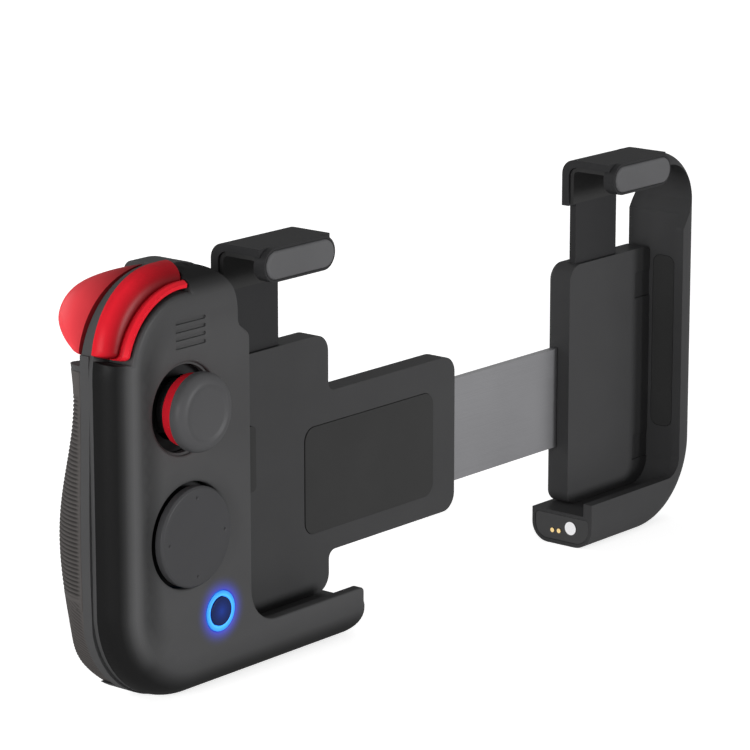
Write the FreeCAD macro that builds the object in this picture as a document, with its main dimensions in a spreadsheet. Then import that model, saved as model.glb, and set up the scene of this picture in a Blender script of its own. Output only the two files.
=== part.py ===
import FreeCAD, Part
import math
import os

import Sketcher

# One-handed telescopic phone gamepad: a left grip with its controls, a bracket that slides out
# behind the phone, a right-hand arm and two sprung clips along the top.
# Millimetres. The model is drawn from the direction disc's axis: X to the right, Y to the back
# from the grip's front face, Z up from the flat bottom. At the end each piece is placed so that
# the origin is below the middle of the whole object.

doc = FreeCAD.newDocument("PhoneGamepad")
sheet = doc.addObject("Spreadsheet::Sheet", "Sizes")


# Sizes and the arithmetic on them

class Length:
    """A number together with the spreadsheet formula that it comes from."""

    def __init__(self, value, text):
        self.value = float(value)
        self.text = text

    @staticmethod
    def of(item):
        if isinstance(item, Length):
            return item
        return Length(item, repr(float(item)))

    def __add__(self, other):
        other = Length.of(other)
        return Length(self.value + other.value, "(%s + %s)" % (self.text, other.text))

    def __radd__(self, other):
        return Length.of(other) + self

    def __sub__(self, other):
        other = Length.of(other)
        return Length(self.value - other.value, "(%s - %s)" % (self.text, other.text))

    def __rsub__(self, other):
        return Length.of(other) - self

    def __mul__(self, other):
        other = Length.of(other)
        return Length(self.value * other.value, "(%s * %s)" % (self.text, other.text))

    def __rmul__(self, other):
        return self * other

    def __truediv__(self, other):
        other = Length.of(other)
        return Length(self.value / other.value, "(%s / %s)" % (self.text, other.text))

    def __neg__(self):
        return Length(-self.value, "(-1 * %s)" % self.text)


sheet_rows = []


def size(name, value):
    """Write one driving size into the sheet and give it back as a length."""
    sheet_rows.append(name)
    row = str(len(sheet_rows))
    sheet.set("A" + row, name)
    sheet.set("B" + row, repr(value))
    sheet.setAlias("B" + row, name)
    return Length(value, "Sizes." + name)


# Phone bay
phone_long = size("phone_long", 160.0)
bay_deep = size("bay_deep", 8.6)
lip_thick = size("lip_thick", 2.4)
bay_round = size("bay_round", 6.0)

# Clearances
seat_gap = size("seat_gap", 0.1)
slide_gap = size("slide_gap", 0.2)
bore_gap = size("bore_gap", 0.05)
button_gap = size("button_gap", 0.65)

# Grip outline, seen from the front
grip_left = size("grip_left", 21.2)
grip_right = size("grip_right", 15.3)
grip_tall = size("grip_tall", 90.8)
low_corner = size("low_corner", 22.0)
high_corner = size("high_corner", 20.0)
crown_inset = size("crown_inset", 0.7)
crown_corner = size("crown_corner", 11.0)
lip_over = size("lip_over", 3.0)
lip_drop = size("lip_drop", 16.4)
lip_slant = size("lip_slant", 2.8)
lip_corner = size("lip_corner", 8.1)
ledge_high = size("ledge_high", 8.0)
ledge_lip = size("ledge_lip", 3.1)
ledge_reach = size("ledge_reach", 55.0)
ledge_corner = size("ledge_corner", 6.0)
ledge_round = size("ledge_round", 4.0)

# Grip depth and walls
front_deep = size("front_deep", 7.0)
band_deep = size("band_deep", 3.4)
front_round = size("front_round", 6.8)
shell_wall = size("shell_wall", 2.2)
side_wall = size("side_wall", 6.0)
inside_low = size("inside_low", 4.0)
toe_deep = size("toe_deep", 14.5)
bulge_deep = size("bulge_deep", 23.6)
bulge_high = size("bulge_high", 35.0)
neck_deep = size("neck_deep", 14.8)
neck_drop = size("neck_drop", 23.8)
shoulder_deep = size("shoulder_deep", 17.4)
shoulder_drop = size("shoulder_drop", 15.3)
palm_swell = size("palm_swell", 0.7)
rubber_thick = size("rubber_thick", 1.6)
rubber_low = size("rubber_low", 4.0)
rubber_drop = size("rubber_drop", 18.8)
rubber_right = size("rubber_right", 2.0)
rubber_corner = size("rubber_corner", 3.0)

# Screws
screw_radius = size("screw_radius", 0.8)
head_radius = size("head_radius", 1.6)
head_deep = size("head_deep", 0.8)
boss_radius = size("boss_radius", 2.2)
shell_screw_tip = size("shell_screw_tip", 4.0)
shell_screw_head = size("shell_screw_head", 12.4)
panel_screw_tip = size("panel_screw_tip", 12.6)
panel_screw_head = size("panel_screw_head", 16.5)

# Inside the grip
board_front = size("board_front", 8.6)
board_thick = size("board_thick", 1.2)
board_space = size("board_space", 10.2)
battery_back = size("battery_back", 17.2)
battery_left = size("battery_left", 13.0)
battery_right = size("battery_right", 10.0)
battery_low = size("battery_low", 21.0)
battery_drop = size("battery_drop", 17.0)
port_x = size("port_x", 4.0)
port_y = size("port_y", 10.0)
port_wide = size("port_wide", 8.94)
port_deep = size("port_deep", 3.26)
port_long = size("port_long", 7.2)

# Direction disc
disc_share = size("disc_share", 0.4)
disc_wide = size("disc_wide", 21.3)
disc_proud = size("disc_proud", 1.5)
disc_under = size("disc_under", 0.7)
disc_hub = size("disc_hub", 3.0)
disc_pivot = size("disc_pivot", 3.7)
carrier_wide = size("carrier_wide", 22.0)
carrier_thick = size("carrier_thick", 1.4)
carrier_pin = size("carrier_pin", 1.2)
disc_pin = size("disc_pin", 0.8)
dish_wide = size("dish_wide", 31.0)
dish_deep = size("dish_deep", 0.6)

# Stick
stick_x = size("stick_x", -1.5)
stick_drop = size("stick_drop", 28.6)
stick_proud = size("stick_proud", 6.3)
stick_pivot = size("stick_pivot", 5.0)
cap_wide = size("cap_wide", 16.6)
cap_thick = size("cap_thick", 3.4)
cap_dish = size("cap_dish", 13.0)
drum_wide = size("drum_wide", 15.2)
drum_long = size("drum_long", 2.7)
socket_wide = size("socket_wide", 18.4)
stem_wide = size("stem_wide", 2.6)
dome_radius = size("dome_radius", 6.6)
dome_wall = size("dome_wall", 0.8)
module_front = size("module_front", 2.9)
module_wide = size("module_wide", 15.0)
module_wall = size("module_wall", 1.0)
flange_wide = size("flange_wide", 20.4)
yoke_wide = size("yoke_wide", 10.0)
yoke_bar = size("yoke_bar", 1.5)
hub_wide = size("hub_wide", 5.0)
journal_wide = size("journal_wide", 1.5)

# Lit button
button_x = size("button_x", 8.5)
button_high = size("button_high", 16.9)
button_wide = size("button_wide", 6.2)
ring_wide = size("ring_wide", 8.7)
ring_bore = size("ring_bore", 6.5)

# Shoulder controls, measured from the rounded top left corner
notch_deep = size("notch_deep", 4.6)
notch_wall = size("notch_wall", 1.4)
bumper_deep = size("bumper_deep", 3.8)
bumper_bulge = size("bumper_bulge", 1.3)
bumper_pin_x = size("bumper_pin_x", 3.6)
bumper_pin_drop = size("bumper_pin_drop", 4.4)
trigger_space = size("trigger_space", 9.2)
trigger_front = size("trigger_front", 11.05)
trigger_pin_x = size("trigger_pin_x", 3.0)
trigger_pin_drop = size("trigger_pin_drop", 5.6)
tab_front = size("tab_front", 11.9)
tab_thick = size("tab_thick", 2.1)
tab_space = size("tab_space", 16.1)
pin_wide = size("pin_wide", 1.5)

# Bracket that slides out behind the phone
bracket_deep = size("bracket_deep", 6.4)
cover_deep = size("cover_deep", 3.2)
base_reach = size("base_reach", 56.0)
base_drop = size("base_drop", 24.8)
base_corner = size("base_corner", 4.0)
rail_reach = size("rail_reach", 100.0)
rail_low = size("rail_low", 17.0)
rail_drop = size("rail_drop", 13.0)
tongue_in = size("tongue_in", 4.0)
plate_thick = size("plate_thick", 1.6)
plate_low = size("plate_low", 22.0)
plate_drop = size("plate_drop", 7.0)
plate_left = size("plate_left", 58.0)
plate_tab = size("plate_tab", 4.0)
spring_room = size("spring_room", 4.0)
retract = size("retract", 40.0)
spring_wide = size("spring_wide", 1.6)
spring_inset = size("spring_inset", 10.0)

# Arm
arm_wall = size("arm_wall", 4.7)
arm_wide = size("arm_wide", 42.0)
arm_short = size("arm_short", 0.3)
arm_low_corner = size("arm_low_corner", 20.0)
arm_high_corner = size("arm_high_corner", 12.5)
arm_front_round = size("arm_front_round", 5.0)
arm_back_round = size("arm_back_round", 4.5)
arm_lip_over = size("arm_lip_over", 2.0)
arm_lip_drop = size("arm_lip_drop", 18.9)
arm_rim = size("arm_rim", 2.7)
arm_top_reach = size("arm_top_reach", 13.6)
panel_left = size("panel_left", 5.2)
lug_wide = size("lug_wide", 6.0)
magnet_wide = size("magnet_wide", 3.2)
contact_wide = size("contact_wide", 1.1)
arm_pad_low = size("arm_pad_low", 22.0)
dock_deep = size("dock_deep", 1.2)

# Clips
clip_wide = size("clip_wide", 22.5)
left_clip_x = size("left_clip_x", 21.8)
right_clip_x = size("right_clip_x", 36.5)
clip_front = size("clip_front", 1.0)
clip_over = size("clip_over", 0.5)
clip_skin = size("clip_skin", 1.7)
clip_hook = size("clip_hook", 11.0)
jaw_thick = size("jaw_thick", 3.0)
jaw_high = size("jaw_high", 7.3)
liner_thick = size("liner_thick", 0.9)
stem_span = size("stem_span", 16.0)
stem_thick = size("stem_thick", 1.7)
stem_long = size("stem_long", 41.3)
stem_travel = size("stem_travel", 16.0)

# Levels and edges that follow from the sizes
BEYOND = grip_tall
SEAM = front_deep
BAND_BACK = front_deep + band_deep
BAY_LEFT = grip_right
BAY_RIGHT = grip_right + phone_long
BAY_BACK = lip_thick + bay_deep
COVER_BACK = BAY_BACK + cover_deep
BRACKET_BACK = BAY_BACK + bracket_deep
LEDGE_TOP = ledge_high + ledge_lip
LIP_EDGE = grip_right + lip_over
CROWN_RIGHT = grip_right - crown_inset
CORNER_X = high_corner - grip_left
CORNER_Z = grip_tall - high_corner
INSIDE_LEFT = side_wall - grip_left
INSIDE_RIGHT = grip_right - shell_wall
NOTCH_ROOT = high_corner - notch_deep
CAVITY_CORNER = NOTCH_ROOT - notch_wall
CAVITY_TOP = CORNER_Z + CAVITY_CORNER
TRIGGER_ROOT = high_corner - trigger_space
LIP_END = grip_tall - lip_drop
NECK_HIGH = grip_tall - neck_drop
SHOULDER_HIGH = grip_tall - shoulder_drop
RUBBER_HIGH = grip_tall - rubber_drop
BATTERY_HIGH = NECK_HIGH - battery_drop
STICK_HIGH = grip_tall - stick_drop
DISC_HIGH = button_high + (STICK_HIGH - button_high) * disc_share
BUMPER_PIN_Z = grip_tall - bumper_pin_drop
TRIGGER_PIN_Z = grip_tall - trigger_pin_drop
BOARD_BACK = board_front + board_thick
ARM_RIGHT = BAY_RIGHT + arm_wall
ARM_LEFT = ARM_RIGHT - arm_wide
ARM_TALL = grip_tall - arm_short
ARM_LIP_END = ARM_TALL - arm_lip_drop
RIGHT_CLIP_LEFT = ARM_RIGHT - right_clip_x
BASE_HIGH = grip_tall - base_drop
RAIL_HIGH = BASE_HIGH - rail_drop
PLATE_FRONT = COVER_BACK + slide_gap
PLATE_BACK = PLATE_FRONT + plate_thick
PLATE_TOP = RAIL_HIGH - plate_drop
ARM_SPRING_END = rail_reach - spring_inset
PALM_LEFT = grip_left + palm_swell
STEM_BACK = COVER_BACK - slide_gap - seat_gap
STEM_FRONT = STEM_BACK - stem_thick
CLIP_TOP = grip_tall + clip_over
CLIP_LOW = CLIP_TOP - clip_hook
STEM_LOW = CLIP_TOP - stem_long
STEM_ROOM = STEM_LOW - stem_travel

# Screw places, X and Z
MIDDLE_SCREW_Z = STICK_HIGH - 9.2
shell_screw_places = [(10.4, 8.5), (10.6, MIDDLE_SCREW_Z), (-12.0, MIDDLE_SCREW_Z), (10.6, grip_tall - 11.8)]
BASE_SCREW_Z = BASE_HIGH - 9.0
bracket_screw_places = [(x, z) for x in (grip_right + 4.2, base_reach - 6.0) for z in (BASE_SCREW_Z, 13.0)]
bracket_screw_places += [(rail_reach - 4.5, z) for z in (RAIL_HIGH - 3.4, rail_low + 2.4)]
plate_screw_places = [(ARM_RIGHT - 13.0, z) for z in (plate_low + 5.0, PLATE_TOP - 5.0)]
lug_screw_places = [(ARM_RIGHT - 7.7, z) for z in (17.0, BASE_SCREW_Z)]

doc.recompute()

subparts = []


# Ways of drawing

def origin_plane(body, role):
    return [item for item in body.Origin.OriginFeatures if item.Role == role + "_Plane"][0]


def bind(item, prop, length):
    """Tie one property of an object to the sheet."""
    item.setExpression(prop, Length.of(length).text)


def new_body(label):
    body = doc.addObject("PartDesign::Body", label)
    body.Label = label
    return body


def new_sketch(body, role, start):
    """A sketch on one of the body's origin planes, moved along its normal to start."""
    sketch = body.newObject("Sketcher::SketchObject", body.Name + "_sketch")
    sketch.AttachmentSupport = [(origin_plane(body, role), "")]
    sketch.MapMode = "FlatFace"
    start = Length.of(start)
    if role == "XZ":
        start = -start
    bind(sketch, "AttachmentOffset.Base.z", start)
    return sketch


def fix_point(sketch, geometry, vertex, across, up):
    """Hold one point of a sketch at two lengths from the sketch's origin."""
    for kind, length in (("DistanceX", across), ("DistanceY", up)):
        number = sketch.addConstraint(Sketcher.Constraint(kind, -1, 1, geometry, vertex, length.value))
        bind(sketch, "Constraints[%d]" % number, length)


def outline(sketch, corners):
    """Close a line through the corners. A corner with a third value is rounded to that radius."""
    count = len(corners)
    across = [Length.of(corner[0]) for corner in corners]
    up = [Length.of(corner[1]) for corner in corners]
    radius = [Length.of(corner[2]) if len(corner) > 2 else None for corner in corners]
    points = [FreeCAD.Vector(a.value, b.value, 0) for a, b in zip(across, up)]
    leave = list(points)
    arrive = list(points)
    centre = [None] * count
    for i in range(count):
        if radius[i] is None:
            continue
        back = (points[i - 1] - points[i]).normalize()
        ahead = (points[(i + 1) % count] - points[i]).normalize()
        half = back.getAngle(ahead) / 2
        arrive[i] = points[i] + back * (radius[i].value / math.tan(half))
        leave[i] = points[i] + ahead * (radius[i].value / math.tan(half))
        centre[i] = points[i] + (back + ahead).normalize() * (radius[i].value / math.sin(half))
    lines = []
    for i in range(count):
        lines.append(sketch.addGeometry(Part.LineSegment(leave[i], arrive[(i + 1) % count]), False))
    for i in range(count):
        before = lines[i - 1]
        after = lines[i]
        if radius[i] is None:
            sketch.addConstraint(Sketcher.Constraint("Coincident", before, 2, after, 1))
            fix_point(sketch, after, 1, across[i], up[i])
            continue
        first = math.atan2(arrive[i].y - centre[i].y, arrive[i].x - centre[i].x)
        last = math.atan2(leave[i].y - centre[i].y, leave[i].x - centre[i].x)
        leftward = (last - first) % (2 * math.pi) < math.pi
        low, high = (first, last) if leftward else (last, first)
        if high < low:
            high += 2 * math.pi
        circle = Part.Circle(centre[i], FreeCAD.Vector(0, 0, 1), radius[i].value)
        arc = sketch.addGeometry(Part.ArcOfCircle(circle, low, high), False)
        begin, finish = (1, 2) if leftward else (2, 1)
        sketch.addConstraint(Sketcher.Constraint("Tangent", before, 2, arc, begin))
        sketch.addConstraint(Sketcher.Constraint("Tangent", arc, finish, after, 1))
        number = sketch.addConstraint(Sketcher.Constraint("Radius", arc, radius[i].value))
        bind(sketch, "Constraints[%d]" % number, radius[i])
        corner = sketch.addGeometry(Part.Point(points[i]), True)
        sketch.addConstraint(Sketcher.Constraint("PointOnObject", corner, 1, before))
        sketch.addConstraint(Sketcher.Constraint("PointOnObject", corner, 1, after))
        fix_point(sketch, corner, 1, across[i], up[i])


def circle(sketch, across, up, radius):
    across, up, radius = Length.of(across), Length.of(up), Length.of(radius)
    centre = FreeCAD.Vector(across.value, up.value, 0)
    ring = sketch.addGeometry(Part.Circle(centre, FreeCAD.Vector(0, 0, 1), radius.value), False)
    number = sketch.addConstraint(Sketcher.Constraint("Radius", ring, radius.value))
    bind(sketch, "Constraints[%d]" % number, radius)
    fix_point(sketch, ring, 3, across, up)


def box_corners(left, right, low, high, radius=None):
    corners = [(left, low), (right, low), (right, high), (left, high)]
    if radius is None:
        return corners
    return [corner + (radius,) for corner in corners]


def draw(sketch, shapes):
    """Each shape is a list of corners, or a tuple of centre and radius for a circle."""
    for shape in shapes:
        if isinstance(shape, tuple):
            circle(sketch, *shape)
        else:
            outline(sketch, shape)


def pad(body, role, start, finish, *shapes):
    """Material between two levels along the plane's own axis."""
    sketch = new_sketch(body, role, start)
    draw(sketch, shapes)
    feature = body.newObject("PartDesign::Pad", body.Name + "_pad")
    feature.Profile = sketch
    bind(feature, "Length", Length.of(finish) - start)
    feature.Reversed = role == "XZ"
    doc.recompute()
    return feature


def pocket(body, role, start, finish, *shapes):
    """A cut between two levels along the plane's own axis."""
    before = body.Shape.Volume
    sketch = new_sketch(body, role, start)
    draw(sketch, shapes)
    feature = body.newObject("PartDesign::Pocket", body.Name + "_pocket")
    feature.Profile = sketch
    bind(feature, "Length", Length.of(finish) - start)
    feature.Reversed = role != "XZ"
    doc.recompute()
    if feature.Shape.Volume > before - 1e-6:
        raise ValueError("a pocket in %s cuts nothing" % body.Label)
    return feature


def radial_sketch(body, across, up, angle):
    """A sketch whose X runs outwards at an angle from a line along Y through (across, up)."""
    sketch = body.newObject("Sketcher::SketchObject", body.Name + "_sketch")
    sketch.AttachmentSupport = [(origin_plane(body, "XY"), "")]
    sketch.MapMode = "FlatFace"
    turn = FreeCAD.Rotation(FreeCAD.Vector(0, 1, 0), -angle)
    sketch.AttachmentOffset = FreeCAD.Placement(FreeCAD.Vector(0, 0, 0), turn)
    bind(sketch, "AttachmentOffset.Base.x", across)
    bind(sketch, "AttachmentOffset.Base.z", up)
    return sketch


def turned(body, kind, across, up, corners, middle=0.0, sweep=360.0):
    """Turn an outline of (radius, depth) corners about a line along Y through (across, up).

    A part turn is centred on the angle called middle, counted from +X towards +Z.
    """
    sketch = radial_sketch(body, across, up, middle)
    outline(sketch, corners)
    feature = body.newObject("PartDesign::" + kind, body.Name + "_turn")
    feature.Profile = sketch
    feature.ReferenceAxis = (sketch, ["V_Axis"])
    feature.Angle = sweep
    feature.Midplane = True
    doc.recompute()
    return feature


def round_edges(body, radius, wanted, kind="Fillet"):
    """Round or chamfer the edges whose middle points pass the test called wanted."""
    base = body.Tip
    names = []
    for number, edge in enumerate(base.Shape.Edges):
        if wanted(edge.valueAt((edge.FirstParameter + edge.LastParameter) / 2)):
            names.append("Edge%d" % (number + 1))
    feature = body.newObject("PartDesign::" + kind, body.Name + "_" + kind.lower())
    feature.Base = (base, names)
    bind(feature, "Radius" if kind == "Fillet" else "Size", radius)
    doc.recompute()
    return feature


def near(value, target):
    return abs(value - Length.of(target).value) < 0.01


def finish(item, label):
    """Name a finished piece and place it from the origin below the middle of the object."""
    item.Label = label
    bind(item, "Placement.Base.x", (PALM_LEFT - ARM_RIGHT) / 2)
    bind(item, "Placement.Base.y", (stick_proud - bulge_deep) / 2)
    subparts.append(item)


def trim(body, start, finish, corners):
    """Cut away everything outside the outline, seen from the front."""
    around = box_corners(-BEYOND, 2.5 * BEYOND, -BEYOND, 2.5 * BEYOND)
    return pocket(body, "XZ", start, finish, around, corners)


def cut(name, base, tool):
    """One solid with another taken away."""
    item = doc.addObject("Part::Cut", name)
    item.Base = base
    item.Tool = tool
    doc.recompute()
    return item


def group(name, members):
    """Several like pieces kept together as separate solids."""
    item = doc.addObject("Part::Compound", name)
    item.Links = members
    doc.recompute()
    return item


def screw(name, place, tip, head):
    """A plain screw along Y from its tip to the back of its head."""
    body = new_body(name)
    pad(body, "XZ", tip, head, place + (screw_radius,))
    pad(body, "XZ", head, head + head_deep, place + (head_radius,))
    return body


def screw_hole(body, place, tip, head):
    """The hole a screw turns in, opened out behind its head."""
    pocket(body, "XZ", tip - 0.4, head + 0.2, place + (screw_radius + bore_gap,))
    pocket(body, "XZ", head - bore_gap, BEYOND, place + (head_radius + 0.25,))


# Front shell of the grip: face, ledge and the lip over the phone's edge

def grip_outline(right_corners):
    """The grip's outline from its bottom left corner, by the given right side, to its top left."""
    return [(-grip_left, 0, low_corner)] + right_corners + [(-grip_left, grip_tall, high_corner)]


front_shell = new_body("front_shell")
BLANK_RIGHT = ledge_reach + ledge_high
pad(front_shell, "XZ", 0, SEAM, grip_outline([(BLANK_RIGHT, 0), (BLANK_RIGHT, grip_tall)]))
round_edges(front_shell, front_round, lambda p: near(p.y, 0) and not near(p.x, BLANK_RIGHT))
trim(front_shell, -1, SEAM + 1, [
    (-grip_left - 5, 0),
    (ledge_reach, 0, ledge_corner),
    (ledge_reach, LEDGE_TOP, 1),
    (LIP_EDGE, LEDGE_TOP, lip_corner),
    (LIP_EDGE, LIP_END, 2),
    (CROWN_RIGHT, LIP_END + lip_slant, 2),
    (CROWN_RIGHT, grip_tall, crown_corner),
    (-grip_left - 5, grip_tall),
])
pocket(front_shell, "XZ", lip_thick, SEAM + 1, [
    (BAY_LEFT, ledge_high, bay_round),
    (BEYOND, ledge_high),
    (BEYOND, BEYOND),
    (BAY_LEFT, BEYOND),
])
pocket(front_shell, "XZ", shell_wall, SEAM + 1, [
    (INSIDE_LEFT, inside_low, low_corner - side_wall),
    (INSIDE_RIGHT, inside_low, 2),
    (INSIDE_RIGHT, CAVITY_TOP, crown_corner - shell_wall),
    (INSIDE_LEFT, CAVITY_TOP, CAVITY_CORNER),
])
pocket(front_shell, "XZ", -1, shell_wall + 1,
       (stick_x, STICK_HIGH, socket_wide / 2),
       (0, DISC_HIGH, disc_wide / 2 + button_gap),
       (button_x, button_high, ring_wide / 2 + seat_gap))
turned(front_shell, "Groove", 0, DISC_HIGH, [
    (0, -1),
    (dish_wide / 2, -1),
    (dish_wide / 2, 0),
    (disc_wide / 2 + button_gap, dish_deep),
    (0, dish_deep),
])

# The notch that the bumper lies in, and the slot for its hinge tab
NOTCH_MIDDLE = 126.5
NOTCH_SWEEP = 84.8
turned(front_shell, "Groove", CORNER_X, CORNER_Z, [
    (NOTCH_ROOT, -1),
    (high_corner + 5, -1),
    (high_corner + 5, SEAM + 1),
    (NOTCH_ROOT, SEAM + 1),
], NOTCH_MIDDLE, NOTCH_SWEEP)
pocket(front_shell, "XZ", 2.9, SEAM + 1,
       box_corners(-4.0, bumper_pin_x + 2.8, CAVITY_TOP - 1, BUMPER_PIN_Z + 2.2, 1))
pocket(front_shell, "XZ", 1.5, SEAM, (bumper_pin_x, BUMPER_PIN_Z, pin_wide / 2 + bore_gap))

# Window for the bumper's switch
SWITCH_MIDDLE = 143.0
SWITCH_SWEEP = 8.0
turned(front_shell, "Groove", CORNER_X, CORNER_Z, [
    (CAVITY_CORNER - 1, 2.7),
    (NOTCH_ROOT + 1, 2.7),
    (NOTCH_ROOT + 1, 5.9),
    (CAVITY_CORNER - 1, 5.9),
], SWITCH_MIDDLE, SWITCH_SWEEP + 1)

# Seat for the soft tab behind the lip, and the plain grille slots
TAB_LOW = 39.9
TAB_HIGH = 54.1
pocket(front_shell, "XZ", 0.9, lip_thick + 0.1,
       box_corners(LIP_EDGE - 1.4, LIP_EDGE + 1, TAB_LOW - 0.1, TAB_HIGH + 0.1))
GRILLE_LOW = grip_tall - 15.9
for row in range(4):
    low = GRILLE_LOW + 1.7 * row
    pocket(front_shell, "XZ", -0.1, 0.5, box_corners(-4.1, 4.9, low, low + 0.7))

# Bearings for the ring that carries the direction disc
BEARING_IN = disc_wide / 2 + 1.55
BEARING_OUT = BEARING_IN + 1.8
for left, right in ((-BEARING_OUT, -BEARING_IN), (BEARING_IN, BEARING_OUT)):
    pad(front_shell, "XZ", shell_wall - 0.5, disc_pivot + 1.4,
        box_corners(left, right, DISC_HIGH - 1.5, DISC_HIGH + 1.5))
pocket(front_shell, "YZ", 0.1 - BEARING_OUT, BEARING_OUT - 0.1,
       (disc_pivot, DISC_HIGH, carrier_pin / 2 + bore_gap))

# Screw bosses
for place in shell_screw_places:
    pad(front_shell, "XZ", shell_wall - 0.5, SEAM, place + (boss_radius,))
for place in shell_screw_places:
    pocket(front_shell, "XZ", shell_screw_tip - 0.5, SEAM + 1, place + (screw_radius + bore_gap,))
finish(front_shell, "front_shell")

lip_pad = new_body("lip_pad")
pad(lip_pad, "XZ", 1.0, lip_thick - 0.1,
    box_corners(LIP_EDGE - 1.3, LIP_EDGE + 2.7, TAB_LOW, TAB_HIGH, 1.2))
finish(lip_pad, "lip_pad")


# Palm side of the grip: D-shaped sections that swell out to the bulge and draw in at the neck

D_START = front_deep + 1
ROUND_SHARE = 0.92
toe_shares = (0, 0.2, 0.4, 0.6, 0.8, 1)
neck_shares = (0.2, 0.4, 0.6, 0.8, 1)


def eased(share):
    """Half a cosine wave from nought to one."""
    return (1 - math.cos(math.pi * share)) / 2


def palm_stations():
    """Height, depth and sideways swell of each section, from the toe up to the shoulder."""
    stations = []
    for share in toe_shares:
        deep = toe_deep + (bulge_deep - toe_deep) * eased(share)
        stations.append((bulge_high * share, deep, palm_swell * eased(share)))
    for share in neck_shares:
        deep = bulge_deep + (neck_deep - bulge_deep) * eased(share)
        stations.append((bulge_high + (NECK_HIGH - bulge_high) * share, deep, palm_swell * eased(1 - share)))
    stations.append((SHOULDER_HIGH, shoulder_deep, Length.of(0)))
    return stations


def palm(body, inset):
    """The palm side with its left and back drawn in by inset."""
    sections = []
    for high, deep, swell in palm_stations():
        sketch = new_sketch(body, "XY", high)
        left = inset - grip_left - swell
        corner = (deep - BAND_BACK) * ROUND_SHARE - inset
        outline(sketch, [
            (grip_right, D_START),
            (grip_right, deep - inset),
            (left, deep - inset, corner),
            (left, D_START),
        ])
        sections.append(sketch)
    loft = body.newObject("PartDesign::AdditiveLoft", body.Name + "_loft")
    loft.Profile = sections[0]
    loft.Sections = sections[1:]
    doc.recompute()
    trim(body, 0, BEYOND, [
        (inset - grip_left, inset, low_corner - inset),
        (BEYOND, inset),
        (BEYOND, BEYOND),
        (inset - grip_left - 5, BEYOND),
        (inset - grip_left - 5, bulge_high + 1),
        (inset - grip_left - 2 * palm_swell, bulge_high),
    ])
    return body


# Rear shell of the grip: palm side, rim behind the front shell, ledge and shoulder block

palm(new_body("rear_outer"), Length.of(0))
rear_outer = doc.getObject("rear_outer")
pad(rear_outer, "XZ", BAND_BACK, shoulder_deep, [
    (-grip_left, SHOULDER_HIGH),
    (grip_right, SHOULDER_HIGH),
    (grip_right, grip_tall, crown_corner),
    (-grip_left, grip_tall),
])
round_edges(rear_outer, 2.5, lambda p: near(p.y, shoulder_deep) and p.z > SHOULDER_HIGH.value + 10)
pad(rear_outer, "XZ", SEAM, BAND_BACK, grip_outline([
    (ledge_reach, 0, ledge_corner),
    (ledge_reach, ledge_high),
    (grip_right, ledge_high),
    (grip_right, grip_tall, crown_corner),
]))
ledge_start = grip_right - 6
pad(rear_outer, "YZ", ledge_start, ledge_reach - ledge_corner, [
    (SEAM + 1, 0),
    (BRACKET_BACK, 0, ledge_round),
    (BRACKET_BACK, ledge_high),
    (SEAM + 1, ledge_high),
])
turned(rear_outer, "Revolution", ledge_reach - ledge_corner, ledge_corner, [
    (0, SEAM + 1),
    (ledge_corner, SEAM + 1),
    (ledge_corner, BRACKET_BACK, ledge_round),
    (0, BRACKET_BACK),
], -45.0, 90.0)
pad(rear_outer, "YZ", ledge_reach - ledge_corner, ledge_reach, [
    (SEAM + 1, ledge_corner),
    (BRACKET_BACK - ledge_round, ledge_corner),
    (BRACKET_BACK - ledge_round, ledge_high),
    (SEAM + 1, ledge_high),
])

# Space for the trigger, its hinge tab and pin
turned(rear_outer, "Groove", CORNER_X, CORNER_Z, [
    (TRIGGER_ROOT, BAND_BACK),
    (high_corner * 1.5, BAND_BACK),
    (high_corner * 1.5, bulge_deep),
    (TRIGGER_ROOT, bulge_deep),
], 130.85, 84.7)
pocket(rear_outer, "XZ", tab_front - 0.4, tab_space,
       box_corners(CORNER_X - 3, trigger_pin_x + 3.2, TRIGGER_PIN_Z - 3.4, TRIGGER_PIN_Z + 3, 1))
pocket(rear_outer, "XZ", BAND_BACK - 0.4, shoulder_deep - 0.8,
       (trigger_pin_x, TRIGGER_PIN_Z, pin_wide / 2 + bore_gap))
pocket(rear_outer, "XZ", SEAM - 1, BAND_BACK - 0.9,
       (bumper_pin_x, BUMPER_PIN_Z, pin_wide / 2 + bore_gap))

# Window for the trigger's switch
turned(rear_outer, "Groove", CORNER_X, CORNER_Z, [
    (TRIGGER_ROOT - 3, tab_front),
    (TRIGGER_ROOT + 1, tab_front),
    (TRIGGER_ROOT + 1, tab_front + 3.2),
    (TRIGGER_ROOT - 3, tab_front + 3.2),
], SWITCH_MIDDLE, 16.0)

# Inside: board space, battery space, port opening, tongue pocket and screw holes
pocket(rear_outer, "XZ", SEAM - 1, board_space, [
    (INSIDE_LEFT, 7.6, low_corner - side_wall - 2),
    (INSIDE_RIGHT - 0.4, 7.6, 1),
    (INSIDE_RIGHT - 0.4, CAVITY_TOP - 2.2, crown_corner - shell_wall),
    (INSIDE_LEFT, CAVITY_TOP - 2.2, CAVITY_CORNER - 2),
])
pocket(rear_outer, "XZ", board_space - 0.1, battery_back,
       box_corners(-battery_left, battery_right, battery_low, BATTERY_HIGH, 1.5))
pocket(rear_outer, "XY", -1, port_long + 0.3, box_corners(
    port_x - port_wide / 2 - seat_gap, port_x + port_wide / 2 + seat_gap,
    port_y - port_deep / 2 - seat_gap, port_y + port_deep / 2 + seat_gap,
    port_deep / 2 + seat_gap - 0.05))
pocket(rear_outer, "YZ", grip_right - tongue_in - seat_gap, grip_right + 1,
       box_corners(BAY_BACK + 0.5, BAY_BACK + 2.7, plate_low - seat_gap, PLATE_TOP + seat_gap, 0.5))
for place in shell_screw_places:
    screw_hole(rear_outer, place, SEAM, shell_screw_head)

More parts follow.
